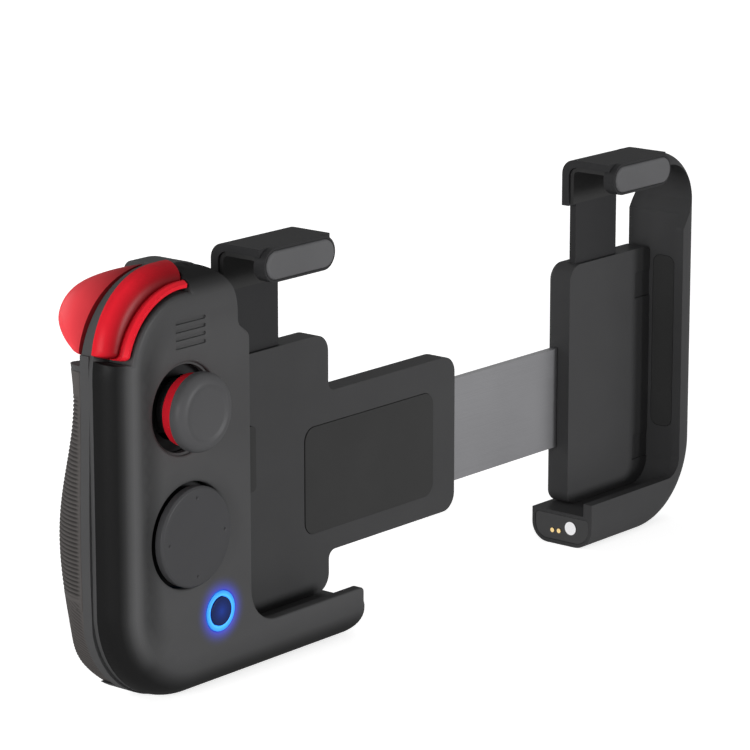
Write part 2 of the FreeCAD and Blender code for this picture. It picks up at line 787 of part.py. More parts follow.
# Rubber skin round the palm side
grip_core = palm(new_body("grip_core"), rubber_thick)
grip_liner = palm(new_body("grip_liner"), rubber_thick - seat_gap)
rubber_blank = palm(new_body("rubber_blank"), Length.of(0))
trim(rubber_blank, 0, BEYOND, [
    (-BEYOND / 2, rubber_low),
    (rubber_right, rubber_low, rubber_corner),
    (rubber_right, RUBBER_HIGH, rubber_corner),
    (-BEYOND / 2, RUBBER_HIGH),
])
pocket(rubber_blank, "XZ", 0, BAND_BACK + seat_gap, box_corners(-BEYOND, BEYOND, -BEYOND, BEYOND))

skin_zone = new_body("skin_zone")
pad(skin_zone, "XZ", BAND_BACK, BEYOND, [
    (-BEYOND / 2, rubber_low - seat_gap),
    (rubber_right + seat_gap, rubber_low - seat_gap, rubber_corner + seat_gap),
    (rubber_right + seat_gap, RUBBER_HIGH + seat_gap, rubber_corner + seat_gap),
    (-BEYOND / 2, RUBBER_HIGH + seat_gap),
])


rear_shell = cut("rear_shell", rear_outer, cut("skin_recess", skin_zone, grip_core))
finish(rear_shell, "rear_shell")
rubber_grip = cut("rubber_grip", rubber_blank, grip_liner)
finish(rubber_grip, "rubber_grip")


# Bumper and trigger with their pins, spring and switches

l1_bumper = new_body("l1_bumper")
turned(l1_bumper, "Revolution", CORNER_X, CORNER_Z, [
    (high_corner - bumper_deep, 0.72),
    (high_corner - 2.4, 1.5),
    (high_corner - 2.6, 2.4),
    (high_corner - 2.5, 3.0, 0.6),
    (high_corner + 0.2, 4.4, 1.2),
    (high_corner + bumper_bulge, 6.0, 0.6),
    (high_corner + bumper_bulge, SEAM - 0.3),
    (high_corner - 1.5, SEAM - 0.3),
    (high_corner - 1.5, 5.2),
    (high_corner - bumper_deep, 4.2),
], 125.6, 81.0)
pad(l1_bumper, "XZ", 3.4, 5.4, [
    (-3.2, BUMPER_PIN_Z - 1.4),
    (bumper_pin_x + 1.7, BUMPER_PIN_Z - 1.7, 1.6),
    (bumper_pin_x + 1.7, BUMPER_PIN_Z + 1.7, 1.6),
    (-3.2, BUMPER_PIN_Z + 1.6),
])
pocket(l1_bumper, "XZ", 3, 6, (bumper_pin_x, BUMPER_PIN_Z, pin_wide / 2 + bore_gap))
finish(l1_bumper, "l1_bumper")

l1_pin = new_body("l1_pin")
pad(l1_pin, "XZ", 1.6, BAND_BACK - 1, (bumper_pin_x, BUMPER_PIN_Z, pin_wide / 2))
finish(l1_pin, "l1_pin")

# Angle round the corner and radius of the horn at each place along it
trigger_sections = [(167, 0.9), (158, 2.6), (145, 3.8), (130, 4.0), (115, 3.2), (102, 2.1), (92, 1.2)]
l2_trigger = new_body("l2_trigger")
horn = []
for angle, radius in trigger_sections:
    sketch = radial_sketch(l2_trigger, CORNER_X, CORNER_Z, angle)
    circle(sketch, high_corner - 0.4 * radius, trigger_front + 0.92 * radius, radius)
    horn.append(sketch)
horn_loft = l2_trigger.newObject("PartDesign::AdditiveLoft", "l2_trigger_loft")
horn_loft.Profile = horn[0]
horn_loft.Sections = horn[1:]
doc.recompute()
TAB_BACK = tab_front + tab_thick
pad(l2_trigger, "XZ", tab_front, TAB_BACK, [
    (CORNER_X - 7.8, TRIGGER_PIN_Z - 2.6),
    (trigger_pin_x + 1.8, TRIGGER_PIN_Z - 1.9, 1.6),
    (trigger_pin_x + 1.8, TRIGGER_PIN_Z + 1.9, 1.6),
    (CORNER_X - 0.8, TRIGGER_PIN_Z + 1.9),
    (CORNER_X - 3.8, TRIGGER_PIN_Z + 3.2),
    (CORNER_X - 7.8, TRIGGER_PIN_Z + 3.2),
])
pocket(l2_trigger, "XZ", tab_front - 1, TAB_BACK + 1, (trigger_pin_x, TRIGGER_PIN_Z, pin_wide / 2 + bore_gap))
finish(l2_trigger, "l2_trigger")

l2_pin = new_body("l2_pin")
pad(l2_pin, "XZ", BAND_BACK - 0.3, shoulder_deep - 0.9, (trigger_pin_x, TRIGGER_PIN_Z, pin_wide / 2))
finish(l2_pin, "l2_pin")

l2_spring = new_body("l2_spring")
pad(l2_spring, "XZ", TAB_BACK + 0.3, tab_space - 0.2,
    (trigger_pin_x, TRIGGER_PIN_Z, pin_wide / 2 + 1.2),
    (trigger_pin_x, TRIGGER_PIN_Z, pin_wide / 2 + bore_gap))
finish(l2_spring, "l2_spring")

front_switch = new_body("front_switch")
turned(front_switch, "Revolution", CORNER_X, CORNER_Z, [
    (CAVITY_CORNER - 2, 2.8),
    (NOTCH_ROOT, 2.8),
    (NOTCH_ROOT, 5.8),
    (CAVITY_CORNER - 2, 5.8),
], SWITCH_MIDDLE, SWITCH_SWEEP)
rear_switch = new_body("rear_switch")
turned(rear_switch, "Revolution", CORNER_X, CORNER_Z, [
    (TRIGGER_ROOT - 2.9, tab_front + 0.1),
    (TRIGGER_ROOT + 0.2, tab_front + 0.1),
    (TRIGGER_ROOT + 0.2, tab_front + 3.1),
    (TRIGGER_ROOT - 2.9, tab_front + 3.1),
], SWITCH_MIDDLE, 15.0)
finish(group("shoulder_switches", [front_switch, rear_switch]), "shoulder_switches")


# Stick: cap, drum and stem tilt on a rocker inside a yoke, and press down a little

CAP_BACK = cap_thick - stick_proud
DRUM_BACK = CAP_BACK + drum_long
stick_cap = new_body("stick_cap")
turned(stick_cap, "Revolution", stick_x, STICK_HIGH, [
    (0, 0.55 - stick_proud),
    (cap_dish / 2 - 0.4, 0.55 - stick_proud, 0.4),
    (cap_dish / 2 + 0.1, -stick_proud, 0.3),
    (cap_wide / 2, -stick_proud, 1.1),
    (cap_wide / 2, CAP_BACK - 1.5, 0.8),
    (drum_wide / 2, CAP_BACK),
    (stem_wide / 2 + bore_gap, CAP_BACK),
    (stem_wide / 2 + bore_gap, CAP_BACK - 1.8),
    (0, CAP_BACK - 1.8),
])
finish(stick_cap, "stick_cap")

stick_drum = new_body("stick_drum")
turned(stick_drum, "Revolution", stick_x, STICK_HIGH, [
    (stem_wide / 2 + bore_gap, CAP_BACK + bore_gap),
    (drum_wide / 2, CAP_BACK + bore_gap),
    (drum_wide / 2, DRUM_BACK, 0.4),
    (4.6, DRUM_BACK),
    (4.3, stick_pivot - dome_radius - seat_gap),
    (stem_wide / 2 + bore_gap, stick_pivot - dome_radius - seat_gap),
])
finish(stick_drum, "stick_drum")

stick_stem = new_body("stick_stem")
inner_dome = dome_radius - dome_wall
turned(stick_stem, "Revolution", stick_x, STICK_HIGH, [
    (0, stick_pivot - dome_radius),
    (dome_radius, stick_pivot - dome_radius, 0.98 * dome_radius),
    (dome_radius, stick_pivot),
    (inner_dome, stick_pivot),
    (inner_dome, stick_pivot - inner_dome, 0.98 * inner_dome),
    (0, stick_pivot - inner_dome),
])
pocket(stick_stem, "XZ", stick_pivot - dome_wall - 1.8, stick_pivot + 1, (stick_x, STICK_HIGH, 2 * dome_radius))
pad(stick_stem, "XZ", CAP_BACK - 1.7, stick_pivot + 1.8, (stick_x, STICK_HIGH, stem_wide / 2))
finish(stick_stem, "stick_stem")

yoke_half = yoke_wide / 2
window_half = yoke_half - yoke_bar
stick_rocker = new_body("stick_rocker")
pad(stick_rocker, "XZ", stick_pivot - 1.5, stick_pivot + 1.5, box_corners(
    stick_x - hub_wide / 2, stick_x + hub_wide / 2,
    STICK_HIGH - hub_wide / 2, STICK_HIGH + hub_wide / 2, 0.6))
pad(stick_rocker, "XY", STICK_HIGH - yoke_half + 0.4, STICK_HIGH + yoke_half - 0.4,
    (stick_x, stick_pivot, journal_wide / 2))
pocket(stick_rocker, "XZ", 0, board_front, (stick_x, STICK_HIGH, stem_wide / 2 + bore_gap))
finish(stick_rocker, "stick_rocker")

stick_yoke = new_body("stick_yoke")
pad(stick_yoke, "XZ", stick_pivot - 1.2, stick_pivot + 1.2,
    box_corners(stick_x - yoke_half, stick_x + yoke_half, STICK_HIGH - yoke_half, STICK_HIGH + yoke_half, 2),
    box_corners(stick_x - window_half, stick_x + window_half,
                STICK_HIGH - window_half, STICK_HIGH + window_half, 0.8))
for side in (-1, 1):
    ends = sorted([stick_x + side * (module_wide / 2 - 0.2), stick_x + side * (window_half + 0.3)],
                  key=lambda end: end.value)
    pad(stick_yoke, "YZ", ends[0], ends[1], (stick_pivot, STICK_HIGH, journal_wide / 2))
pocket(stick_yoke, "XY", STICK_HIGH - yoke_half - 1, STICK_HIGH + yoke_half + 1,
       (stick_x, stick_pivot, journal_wide / 2 + bore_gap))
finish(stick_yoke, "stick_yoke")

stick_housing = new_body("stick_housing")
module_half = module_wide / 2
module_inner = module_half - module_wall
pad(stick_housing, "XZ", module_front, board_front - 0.2, box_corners(
    stick_x - module_half, stick_x + module_half, STICK_HIGH - module_half, STICK_HIGH + module_half, 1))
pocket(stick_housing, "XZ", module_front - 1, board_front - 0.8, box_corners(
    stick_x - module_inner, stick_x + module_inner, STICK_HIGH - module_inner, STICK_HIGH + module_inner, 0.5))
pad(stick_housing, "XZ", module_front, module_front + 0.7,
    (stick_x, STICK_HIGH, flange_wide / 2), (stick_x, STICK_HIGH, dome_radius + 0.3))
pad(stick_housing, "XZ", board_front - 0.9, board_front - 0.7, (stick_x, STICK_HIGH, 1.8))
pocket(stick_housing, "YZ", stick_x - BEYOND, BEYOND, (stick_pivot, STICK_HIGH, journal_wide / 2 + bore_gap))
finish(stick_housing, "stick_housing")


# Direction disc on its carrier ring and rubber membrane

DISC_CATCH = disc_pivot + carrier_thick / 2 + 0.4
direction_disc = new_body("direction_disc")
turned(direction_disc, "Revolution", 0, DISC_HIGH, [
    (0, 0.25 - disc_proud),
    (disc_hub, 0.25 - disc_proud),
    (disc_wide / 2, -disc_proud, 0.4),
    (disc_wide / 2, disc_under),
    (disc_hub, disc_under),
    (disc_hub, DISC_CATCH),
    (disc_hub + 0.8, DISC_CATCH),
    (disc_hub + 0.8, DISC_CATCH + 0.6),
    (0, DISC_CATCH + 0.6),
])
pad(direction_disc, "XY", DISC_HIGH - disc_hub - 1.6, DISC_HIGH + disc_hub + 1.6, (0, disc_pivot, disc_pin / 2))
finish(direction_disc, "direction_disc")

disc_carrier = new_body("disc_carrier")
pad(disc_carrier, "XZ", disc_pivot - carrier_thick / 2, disc_pivot + carrier_thick / 2,
    (0, DISC_HIGH, carrier_wide / 2), (0, DISC_HIGH, disc_hub + 0.4))
PIN_ROOT = carrier_wide / 2 - 0.5
PIN_END = BEARING_OUT - 0.3
for left, right in ((-PIN_END, -PIN_ROOT), (PIN_ROOT, PIN_END)):
    pad(disc_carrier, "YZ", left, right, (disc_pivot, DISC_HIGH, carrier_pin / 2))
pocket(disc_carrier, "XY", DISC_HIGH - disc_hub - 1.9, DISC_HIGH + disc_hub + 1.9,
       (0, disc_pivot, disc_pin / 2 + bore_gap))
finish(disc_carrier, "disc_carrier")

disc_membrane = new_body("disc_membrane")
pad(disc_membrane, "XZ", board_front - 0.8, board_front - seat_gap,
    (0, DISC_HIGH, 11.5), (0, DISC_HIGH, disc_hub + 1.3))
for across, up in ((-8.3, 0), (8.3, 0), (0, -8.3), (0, 8.3)):
    pad(disc_membrane, "XZ", 5.0, board_front - 0.7, (across, DISC_HIGH + up, 1.8))
finish(disc_membrane, "disc_membrane")


# Lit button

mode_button = new_body("mode_button")
turned(mode_button, "Revolution", button_x, button_high, [
    (0, -0.3),
    (button_wide / 2, -0.3, 0.3),
    (button_wide / 2, 2.6),
    (button_wide / 2 + 0.8, 2.6),
    (button_wide / 2 + 0.8, 3.4),
    (0, 3.4),
])
finish(mode_button, "mode_button")

light_ring = new_body("light_ring")
turned(light_ring, "Revolution", button_x, button_high, [
    (ring_bore / 2, -0.05),
    (ring_wide / 2, -0.05),
    (ring_wide / 2, 2.25),
    (ring_bore / 2, 2.25),
])
finish(light_ring, "light_ring")

button_switch = new_body("button_switch")
pad(button_switch, "XZ", 5.2, board_front - seat_gap, box_corners(
    button_x - 2.5, button_x + 2.5, button_high - 2.5, button_high + 2.5, 0.3))
pad(button_switch, "XZ", 4.2, 5.3, (button_x, button_high, 1.2))
finish(button_switch, "button_switch")


# Board, battery and charging port

main_board = new_body("main_board")
pad(main_board, "XZ", board_front, BOARD_BACK, [
    (-battery_left, port_long + 1, low_corner - side_wall - 5),
    (7.4, port_long + 1),
    (7.4, port_long + 4.8),
    (INSIDE_RIGHT - 1.1, port_long + 4.8),
    (INSIDE_RIGHT - 1.1, RUBBER_HIGH),
    (-battery_left, RUBBER_HIGH, 3),
])
for place in shell_screw_places[1:3]:
    pocket(main_board, "XZ", SEAM, BOARD_BACK + 1, place + (1.3,))
finish(main_board, "main_board")

battery = new_body("battery")
pad(battery, "XZ", board_space + seat_gap, battery_back - 0.3, box_corners(
    -battery_left + 0.5, battery_right - 0.5, battery_low + 0.5, BATTERY_HIGH - 0.5, 1.5))
finish(battery, "battery")

usb_port = new_body("usb_port")
port_half = port_wide / 2
port_flat = port_deep / 2
pad(usb_port, "XY", 0.2, port_long, box_corners(
    port_x - port_half, port_x + port_half, port_y - port_flat, port_y + port_flat, port_flat - 0.05))
pocket(usb_port, "XY", 0, port_long - 0.8, box_corners(
    port_x - port_half + 0.3, port_x + port_half - 0.3,
    port_y - port_flat + 0.3, port_y + port_flat - 0.3, port_flat - 0.35))
pad(usb_port, "XY", 1.0, port_long - 0.7, box_corners(port_x - 3.35, port_x + 3.35, port_y - 0.35, port_y + 0.35))
finish(usb_port, "usb_port")

shell_screws = [screw("shell_screw", place, shell_screw_tip, shell_screw_head) for place in shell_screw_places]
finish(group("shell_screws", shell_screws), "shell_screws")


# Bracket: cover and tray screwed together, with rails for the steel plate

BASE_LOW = ledge_high + seat_gap
BRACKET_LEFT = grip_right + seat_gap
bracket_outline = [
    (BRACKET_LEFT, BASE_LOW),
    (base_reach, BASE_LOW, base_corner),
    (base_reach, rail_low, 2),
    (rail_reach, rail_low, base_corner),
    (rail_reach, RAIL_HIGH, base_corner),
    (base_reach, RAIL_HIGH, 2),
    (base_reach, BASE_HIGH, base_corner),
    (BRACKET_LEFT, BASE_HIGH),
]
STEM_INSET = (clip_wide - stem_span) / 2
LEFT_STEM = left_clip_x + STEM_INSET
RIGHT_STEM = RIGHT_CLIP_LEFT + STEM_INSET
PAD_FRONT = BAY_BACK - 0.2
PAD_BACK = BAY_BACK + 0.5

bracket_cover = new_body("bracket_cover")
pad(bracket_cover, "XZ", BAY_BACK, COVER_BACK, bracket_outline)
pad(bracket_cover, "YZ", grip_right - tongue_in, BRACKET_LEFT + 1,
    box_corners(BAY_BACK + 0.6, BAY_BACK + 2.6, plate_low, PLATE_TOP, 0.5))
pocket(bracket_cover, "XZ", STEM_FRONT - seat_gap, COVER_BACK + 1, box_corners(
    LEFT_STEM - slide_gap, LEFT_STEM + stem_span + slide_gap, STEM_ROOM, BASE_HIGH + 1))
pocket(bracket_cover, "XZ", 0, PAD_BACK + seat_gap, box_corners(
    base_reach - 8 - seat_gap, rail_reach - 8 + seat_gap,
    plate_low - seat_gap, PLATE_TOP + seat_gap, 3 + seat_gap))
for place in bracket_screw_places:
    pocket(bracket_cover, "XZ", panel_screw_tip - 0.4, BRACKET_BACK, place + (screw_radius + bore_gap,))
finish(bracket_cover, "bracket_cover")

bracket_pad = new_body("bracket_pad")
pad(bracket_pad, "XZ", PAD_FRONT, PAD_BACK,
    box_corners(base_reach - 8, rail_reach - 8, plate_low, PLATE_TOP, 3))
finish(bracket_pad, "bracket_pad")

bracket_tray = new_body("bracket_tray")
pad(bracket_tray, "XZ", COVER_BACK + 0.02, BRACKET_BACK, bracket_outline)
round_edges(bracket_tray, 1.2, lambda p: near(p.y, BRACKET_BACK) and not near(p.x, BRACKET_LEFT))
RAIL_END = ARM_SPRING_END + 0.3
pocket(bracket_tray, "XZ", 0, PLATE_BACK + seat_gap, [
    (plate_left - retract - 1, plate_low - slide_gap),
    (rail_reach + 1, plate_low - slide_gap),
    (rail_reach + 1, PLATE_TOP + slide_gap),
    (RAIL_END, PLATE_TOP + slide_gap),
    (RAIL_END, PLATE_TOP + spring_room + slide_gap),
    (plate_left - retract - 1, PLATE_TOP + spring_room + slide_gap),
])
for place in bracket_screw_places:
    screw_hole(bracket_tray, place, COVER_BACK - 1, panel_screw_head)
finish(bracket_tray, "bracket_tray")

bracket_screws = [screw("bracket_screw", place, panel_screw_tip, panel_screw_head)
                  for place in bracket_screw_places]
finish(group("bracket_screws", bracket_screws), "bracket_screws")


# Steel plate that carries the arm, and the spring that draws it in

PLATE_RIGHT = BAY_RIGHT - 0.3
slide_plate = new_body("slide_plate")
pad(slide_plate, "XZ", PLATE_FRONT, PLATE_BACK, [
    (plate_left, plate_low, 1),
    (PLATE_RIGHT, plate_low, 2),
    (PLATE_RIGHT, PLATE_TOP, 2),
    (plate_left + plate_tab, PLATE_TOP),
    (plate_left + plate_tab, PLATE_TOP + spring_room),
    (plate_left, PLATE_TOP + spring_room),
])
for place in plate_screw_places:
    pocket(slide_plate, "XZ", COVER_BACK, BRACKET_BACK, place + (screw_radius + bore_gap,))
finish(slide_plate, "slide_plate")

ARM_SPRING_Y = PLATE_FRONT + plate_thick / 2
ARM_SPRING_Z = PLATE_TOP + spring_room / 2 + 0.4
arm_spring = new_body("arm_spring")
pad(arm_spring, "YZ", plate_left + plate_tab + 0.1, ARM_SPRING_END,
    (ARM_SPRING_Y, ARM_SPRING_Z, spring_wide / 2))
finish(arm_spring, "arm_spring")


# Arm: shell with ledge, wall and rim, back panel, pad and docking end

arm_shell = new_body("arm_shell")
pad(arm_shell, "XZ", 0, BRACKET_BACK, [
    (ARM_LEFT, 0),
    (ARM_RIGHT, 0, arm_low_corner),
    (ARM_RIGHT, ARM_TALL, arm_high_corner),
    (ARM_LEFT, ARM_TALL),
])
round_edges(arm_shell, arm_front_round, lambda p: near(p.y, 0) and not near(p.x, ARM_LEFT))
round_edges(arm_shell, arm_back_round, lambda p: near(p.y, BRACKET_BACK) and not near(p.x, ARM_LEFT))
ARM_LIP = BAY_RIGHT - arm_lip_over
RIM_INSIDE = ARM_RIGHT - arm_rim
RIM_TOP = ARM_TALL - arm_rim
pocket(arm_shell, "XZ", -1, BRACKET_BACK + 1, [
    (ARM_LEFT - 8, LEDGE_TOP),
    (ARM_LIP, LEDGE_TOP, 4.5),
    (ARM_LIP, ARM_LIP_END, 1),
    (ARM_LIP + 2.3, ARM_LIP_END + 3.4, 1),
    (RIM_INSIDE, ARM_LIP_END + 6.5, 1),
    (RIM_INSIDE, RIM_TOP, arm_high_corner - arm_rim - 0.8),
    (ARM_RIGHT - arm_top_reach, RIM_TOP),
    (ARM_RIGHT - arm_top_reach, BEYOND + 8),
    (ARM_LEFT - 8, BEYOND + 8),
])
pocket(arm_shell, "XZ", lip_thick, BRACKET_BACK + 1, [
    (ARM_LEFT - 8, ledge_high),
    (BAY_RIGHT, ledge_high, bay_round),
    (BAY_RIGHT, ARM_LIP_END + 8),
    (ARM_LEFT - 8, ARM_LIP_END + 8),
])
LUG_BACK = BAY_BACK + 2.8
for place in lug_screw_places:
    low = place[1] - lug_wide / 2
    pad(arm_shell, "XZ", BAY_BACK + 0.2, LUG_BACK,
        box_corners(place[0] - lug_wide / 2, BAY_RIGHT + 1, low, low + lug_wide))
for place in lug_screw_places:
    pocket(arm_shell, "XZ", panel_screw_tip - 0.4, LUG_BACK + 1, place + (screw_radius + bore_gap,))
dock_outline = [(0.9, 0.9, 3.8), (BRACKET_BACK - 0.9, 0.9, 3.4),
                (BRACKET_BACK - 0.9, ledge_high - 0.8, 1), (0.9, ledge_high - 0.8, 1)]
MAGNET_Y, MAGNET_Z = 6.1, 4.5
contact_places = [(11.4, 3.2), (9.5, 3.3)]
pocket(arm_shell, "YZ", ARM_LEFT - 1, ARM_LEFT + dock_deep, dock_outline)
pocket(arm_shell, "YZ", ARM_LEFT, ARM_LEFT + 3.2, (MAGNET_Y, MAGNET_Z, magnet_wide / 2 + bore_gap))
for place in contact_places:
    pocket(arm_shell, "YZ", ARM_LEFT, ARM_LEFT + 2.8, place + (contact_wide / 2 + bore_gap,))
ARM_PAD_DEEP = 1.0
ARM_PAD_HIGH = ARM_TALL - 26.5
pocket(arm_shell, "YZ", BAY_RIGHT - 1, BAY_RIGHT + ARM_PAD_DEEP + seat_gap, box_corners(
    4 - seat_gap, 10 + seat_gap, arm_pad_low - seat_gap, ARM_PAD_HIGH + seat_gap, 2 + seat_gap))
finish(arm_shell, "arm_shell")

arm_pad = new_body("arm_pad")
pad(arm_pad, "YZ", BAY_RIGHT, BAY_RIGHT + ARM_PAD_DEEP, box_corners(4, 10, arm_pad_low, ARM_PAD_HIGH, 2))
finish(arm_pad, "arm_pad")

dock_plate = new_body("dock_plate")
pad(dock_plate, "YZ", ARM_LEFT + 0.1, ARM_LEFT + dock_deep - seat_gap,
    [(1.0, 1.0, 3.7), (BRACKET_BACK - 1, 1.0, 3.3), (BRACKET_BACK - 1, ledge_high - 0.9, 0.9),
     (1.0, ledge_high - 0.9, 0.9)],
    (MAGNET_Y, MAGNET_Z, magnet_wide / 2 + bore_gap),
    *[place + (contact_wide / 2 + bore_gap,) for place in contact_places])
finish(dock_plate, "dock_plate")

dock_magnet = new_body("dock_magnet")
pad(dock_magnet, "YZ", ARM_LEFT - 0.1, ARM_LEFT + 3.1, (MAGNET_Y, MAGNET_Z, magnet_wide / 2))
finish(dock_magnet, "dock_magnet")

contacts = []
for place in contact_places:
    contact = new_body("dock_contact")
    pad(contact, "YZ", ARM_LEFT - 0.1, ARM_LEFT + 2.7, place + (contact_wide / 2,))
    contacts.append(contact)
finish(group("dock_contacts", contacts), "dock_contacts")

PANEL_LEFT = ARM_LEFT + panel_left
PANEL_RIGHT = BAY_RIGHT - seat_gap
arm_back = new_body("arm_back")
pad(arm_back, "XZ", BAY_BACK, BRACKET_BACK, [
    (PANEL_LEFT, BASE_LOW, 3),
    (PANEL_RIGHT, BASE_LOW, bay_round + seat_gap),
    (PANEL_RIGHT, BASE_HIGH, 2),
    (PANEL_LEFT, BASE_HIGH, base_corner),
])
round_edges(arm_back, 1.2, lambda p: near(p.y, BRACKET_BACK) and not near(p.x, PANEL_RIGHT))
pocket(arm_back, "YZ", PANEL_LEFT - 1, PANEL_RIGHT + 1, box_corners(
    PLATE_FRONT - seat_gap, PLATE_BACK + seat_gap, plate_low - seat_gap, PLATE_TOP + seat_gap))
pocket(arm_back, "XY", STEM_ROOM, BASE_HIGH + 1, box_corners(
    RIGHT_STEM - slide_gap, RIGHT_STEM + stem_span + slide_gap, STEM_FRONT - seat_gap, PLATE_FRONT - seat_gap))
for place in lug_screw_places:
    low = place[1] - lug_wide / 2 - seat_gap
    pocket(arm_back, "XZ", 0, LUG_BACK + seat_gap,
           box_corners(place[0] - lug_wide / 2 - seat_gap, BAY_RIGHT + 1, low, low + lug_wide + 2 * seat_gap))
for place in lug_screw_places + plate_screw_places:
    screw_hole(arm_back, place, panel_screw_tip, panel_screw_head)
finish(arm_back, "arm_back")

arm_screws = [screw("arm_screw", place, panel_screw_tip, panel_screw_head)
              for place in lug_screw_places + plate_screw_places]
finish(group("arm_screws", arm_screws), "arm_screws")


# Clips that slide up out of the bracket and out of the arm

def clip(side, left, spring_x):
    """Hook with its stem, the pad on its face, the liner inside it and its spring."""
    right = left + clip_wide
    stem = left + STEM_INSET
    hook = new_body(side + "_clip")
    jaw_low = CLIP_TOP - jaw_high
    inner_back = STEM_BACK - 1.95
    pad(hook, "YZ", left, right, [
        (STEM_BACK, CLIP_LOW),
        (STEM_BACK, CLIP_TOP, 3.5),
        (0.5, CLIP_TOP),
        (0.5, CLIP_TOP - clip_skin),
        (inner_back, CLIP_TOP - clip_skin, 2.2),
        (inner_back, CLIP_LOW),
    ])
    pad(hook, "XZ", -clip_front, jaw_thick - clip_front,
        box_corners(left, right, jaw_low, CLIP_TOP, jaw_high / 2 - 0.05))
    pad(hook, "XZ", STEM_FRONT, STEM_BACK, [
        (stem, STEM_LOW, 1),
        (stem + stem_span, STEM_LOW, 1),
        (stem + stem_span, CLIP_LOW + 1),
        (stem, CLIP_LOW + 1),
    ])
    pocket(hook, "XZ", STEM_FRONT - 0.05, STEM_BACK + 1,
           box_corners(spring_x - 1.6, spring_x + 1.6, STEM_LOW - 1, STEM_LOW + 12.4))
    pocket(hook, "XZ", -clip_front - 1, 0.5 - clip_front,
           box_corners(left + 0.5, right - 0.5, jaw_low + 0.5, CLIP_TOP - 0.5, jaw_high / 2 - 0.55))
    finish(hook, side + "_clip")

    face = new_body(side + "_clip_face")
    pad(face, "XZ", -clip_front - 0.5, 0.4 - clip_front,
        box_corners(left + 0.6, right - 0.6, jaw_low + 0.6, CLIP_TOP - 0.6, jaw_high / 2 - 0.65))
    finish(face, side + "_clip_face")

    liner = new_body(side + "_clip_liner")
    liner_back = inner_back - 0.1
    liner_top = CLIP_TOP - clip_skin - 0.1
    pad(liner, "YZ", left + 0.6, right - 0.6, [
        (liner_back - liner_thick, CLIP_LOW + 0.5),
        (liner_back, CLIP_LOW + 0.5),
        (liner_back, liner_top, 2.2),
        (jaw_thick - clip_front + 0.1, liner_top),
        (jaw_thick - clip_front + 0.1, liner_top - liner_thick),
        (liner_back - liner_thick, liner_top - liner_thick, 1.2),
    ])
    finish(liner, side + "_clip_liner")

    spring = new_body(side + "_clip_spring")
    pad(spring, "XY", STEM_ROOM + 0.2, STEM_LOW + 12.3,
        (spring_x, STEM_FRONT + stem_thick / 2, spring_wide / 2))
    finish(spring, side + "_clip_spring")


clip("left", left_clip_x, LEFT_STEM + stem_span / 2)
clip("right", RIGHT_CLIP_LEFT, RIGHT_STEM + stem_span / 2)


# Check every object and write one file for each sub-part

doc.recompute()
for item in doc.Objects:
    if "Invalid" in item.State or "Error" in item.State:
        raise ValueError("%s did not compute" % item.Name)
os.makedirs("parts", exist_ok=True)
for item in subparts:
    if item.Shape.isNull() or not item.Shape.isValid():
        raise ValueError("%s has no valid shape" % item.Label)
    item.Shape.exportStep(os.path.join("parts", item.Label + ".step"))
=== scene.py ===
import math

import bmesh
import bpy
import numpy as np
from mathutils import Matrix, Vector
from mathutils.geometry import delaunay_2d_cdt


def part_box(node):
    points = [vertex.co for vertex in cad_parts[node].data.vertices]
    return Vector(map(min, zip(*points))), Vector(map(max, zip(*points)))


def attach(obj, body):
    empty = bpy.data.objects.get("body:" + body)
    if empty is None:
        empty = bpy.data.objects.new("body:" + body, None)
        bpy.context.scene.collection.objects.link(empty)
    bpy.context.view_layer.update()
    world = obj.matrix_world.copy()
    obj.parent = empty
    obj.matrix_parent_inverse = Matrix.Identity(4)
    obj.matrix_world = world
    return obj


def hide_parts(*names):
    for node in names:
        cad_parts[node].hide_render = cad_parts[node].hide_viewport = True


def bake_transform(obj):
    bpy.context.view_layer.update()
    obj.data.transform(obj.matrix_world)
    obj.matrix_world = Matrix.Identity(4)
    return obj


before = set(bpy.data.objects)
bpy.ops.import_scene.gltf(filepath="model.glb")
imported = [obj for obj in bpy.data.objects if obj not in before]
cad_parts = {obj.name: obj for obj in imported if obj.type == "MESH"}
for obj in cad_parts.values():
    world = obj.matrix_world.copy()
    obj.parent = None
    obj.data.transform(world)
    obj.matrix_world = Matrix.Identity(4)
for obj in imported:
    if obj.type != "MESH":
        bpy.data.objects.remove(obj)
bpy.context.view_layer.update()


# Rear shell of the grip: one moulding in black plastic that holds the palm bulge, the back of the ledge and
# the shoulder block. Its solid has the right form, so it gets the fine spark-eroded grain of the mould here.
def add_node(tree, kind, values=None, operation=None):
    """A new node in a material's tree, with its operation and the values of its named inputs set."""
    node = tree.nodes.new("ShaderNode" + kind)
    if operation:
        node.operation = operation
    for socket, value in (values or {}).items():
        node.inputs[socket].default_value = value
    return node


def join(tree, *routes):
    """Links an output to an input for each route of source node, output, target node and input."""
    for source, output, target, socket in routes:
        tree.links.new(source.outputs[output], target.inputs[socket])


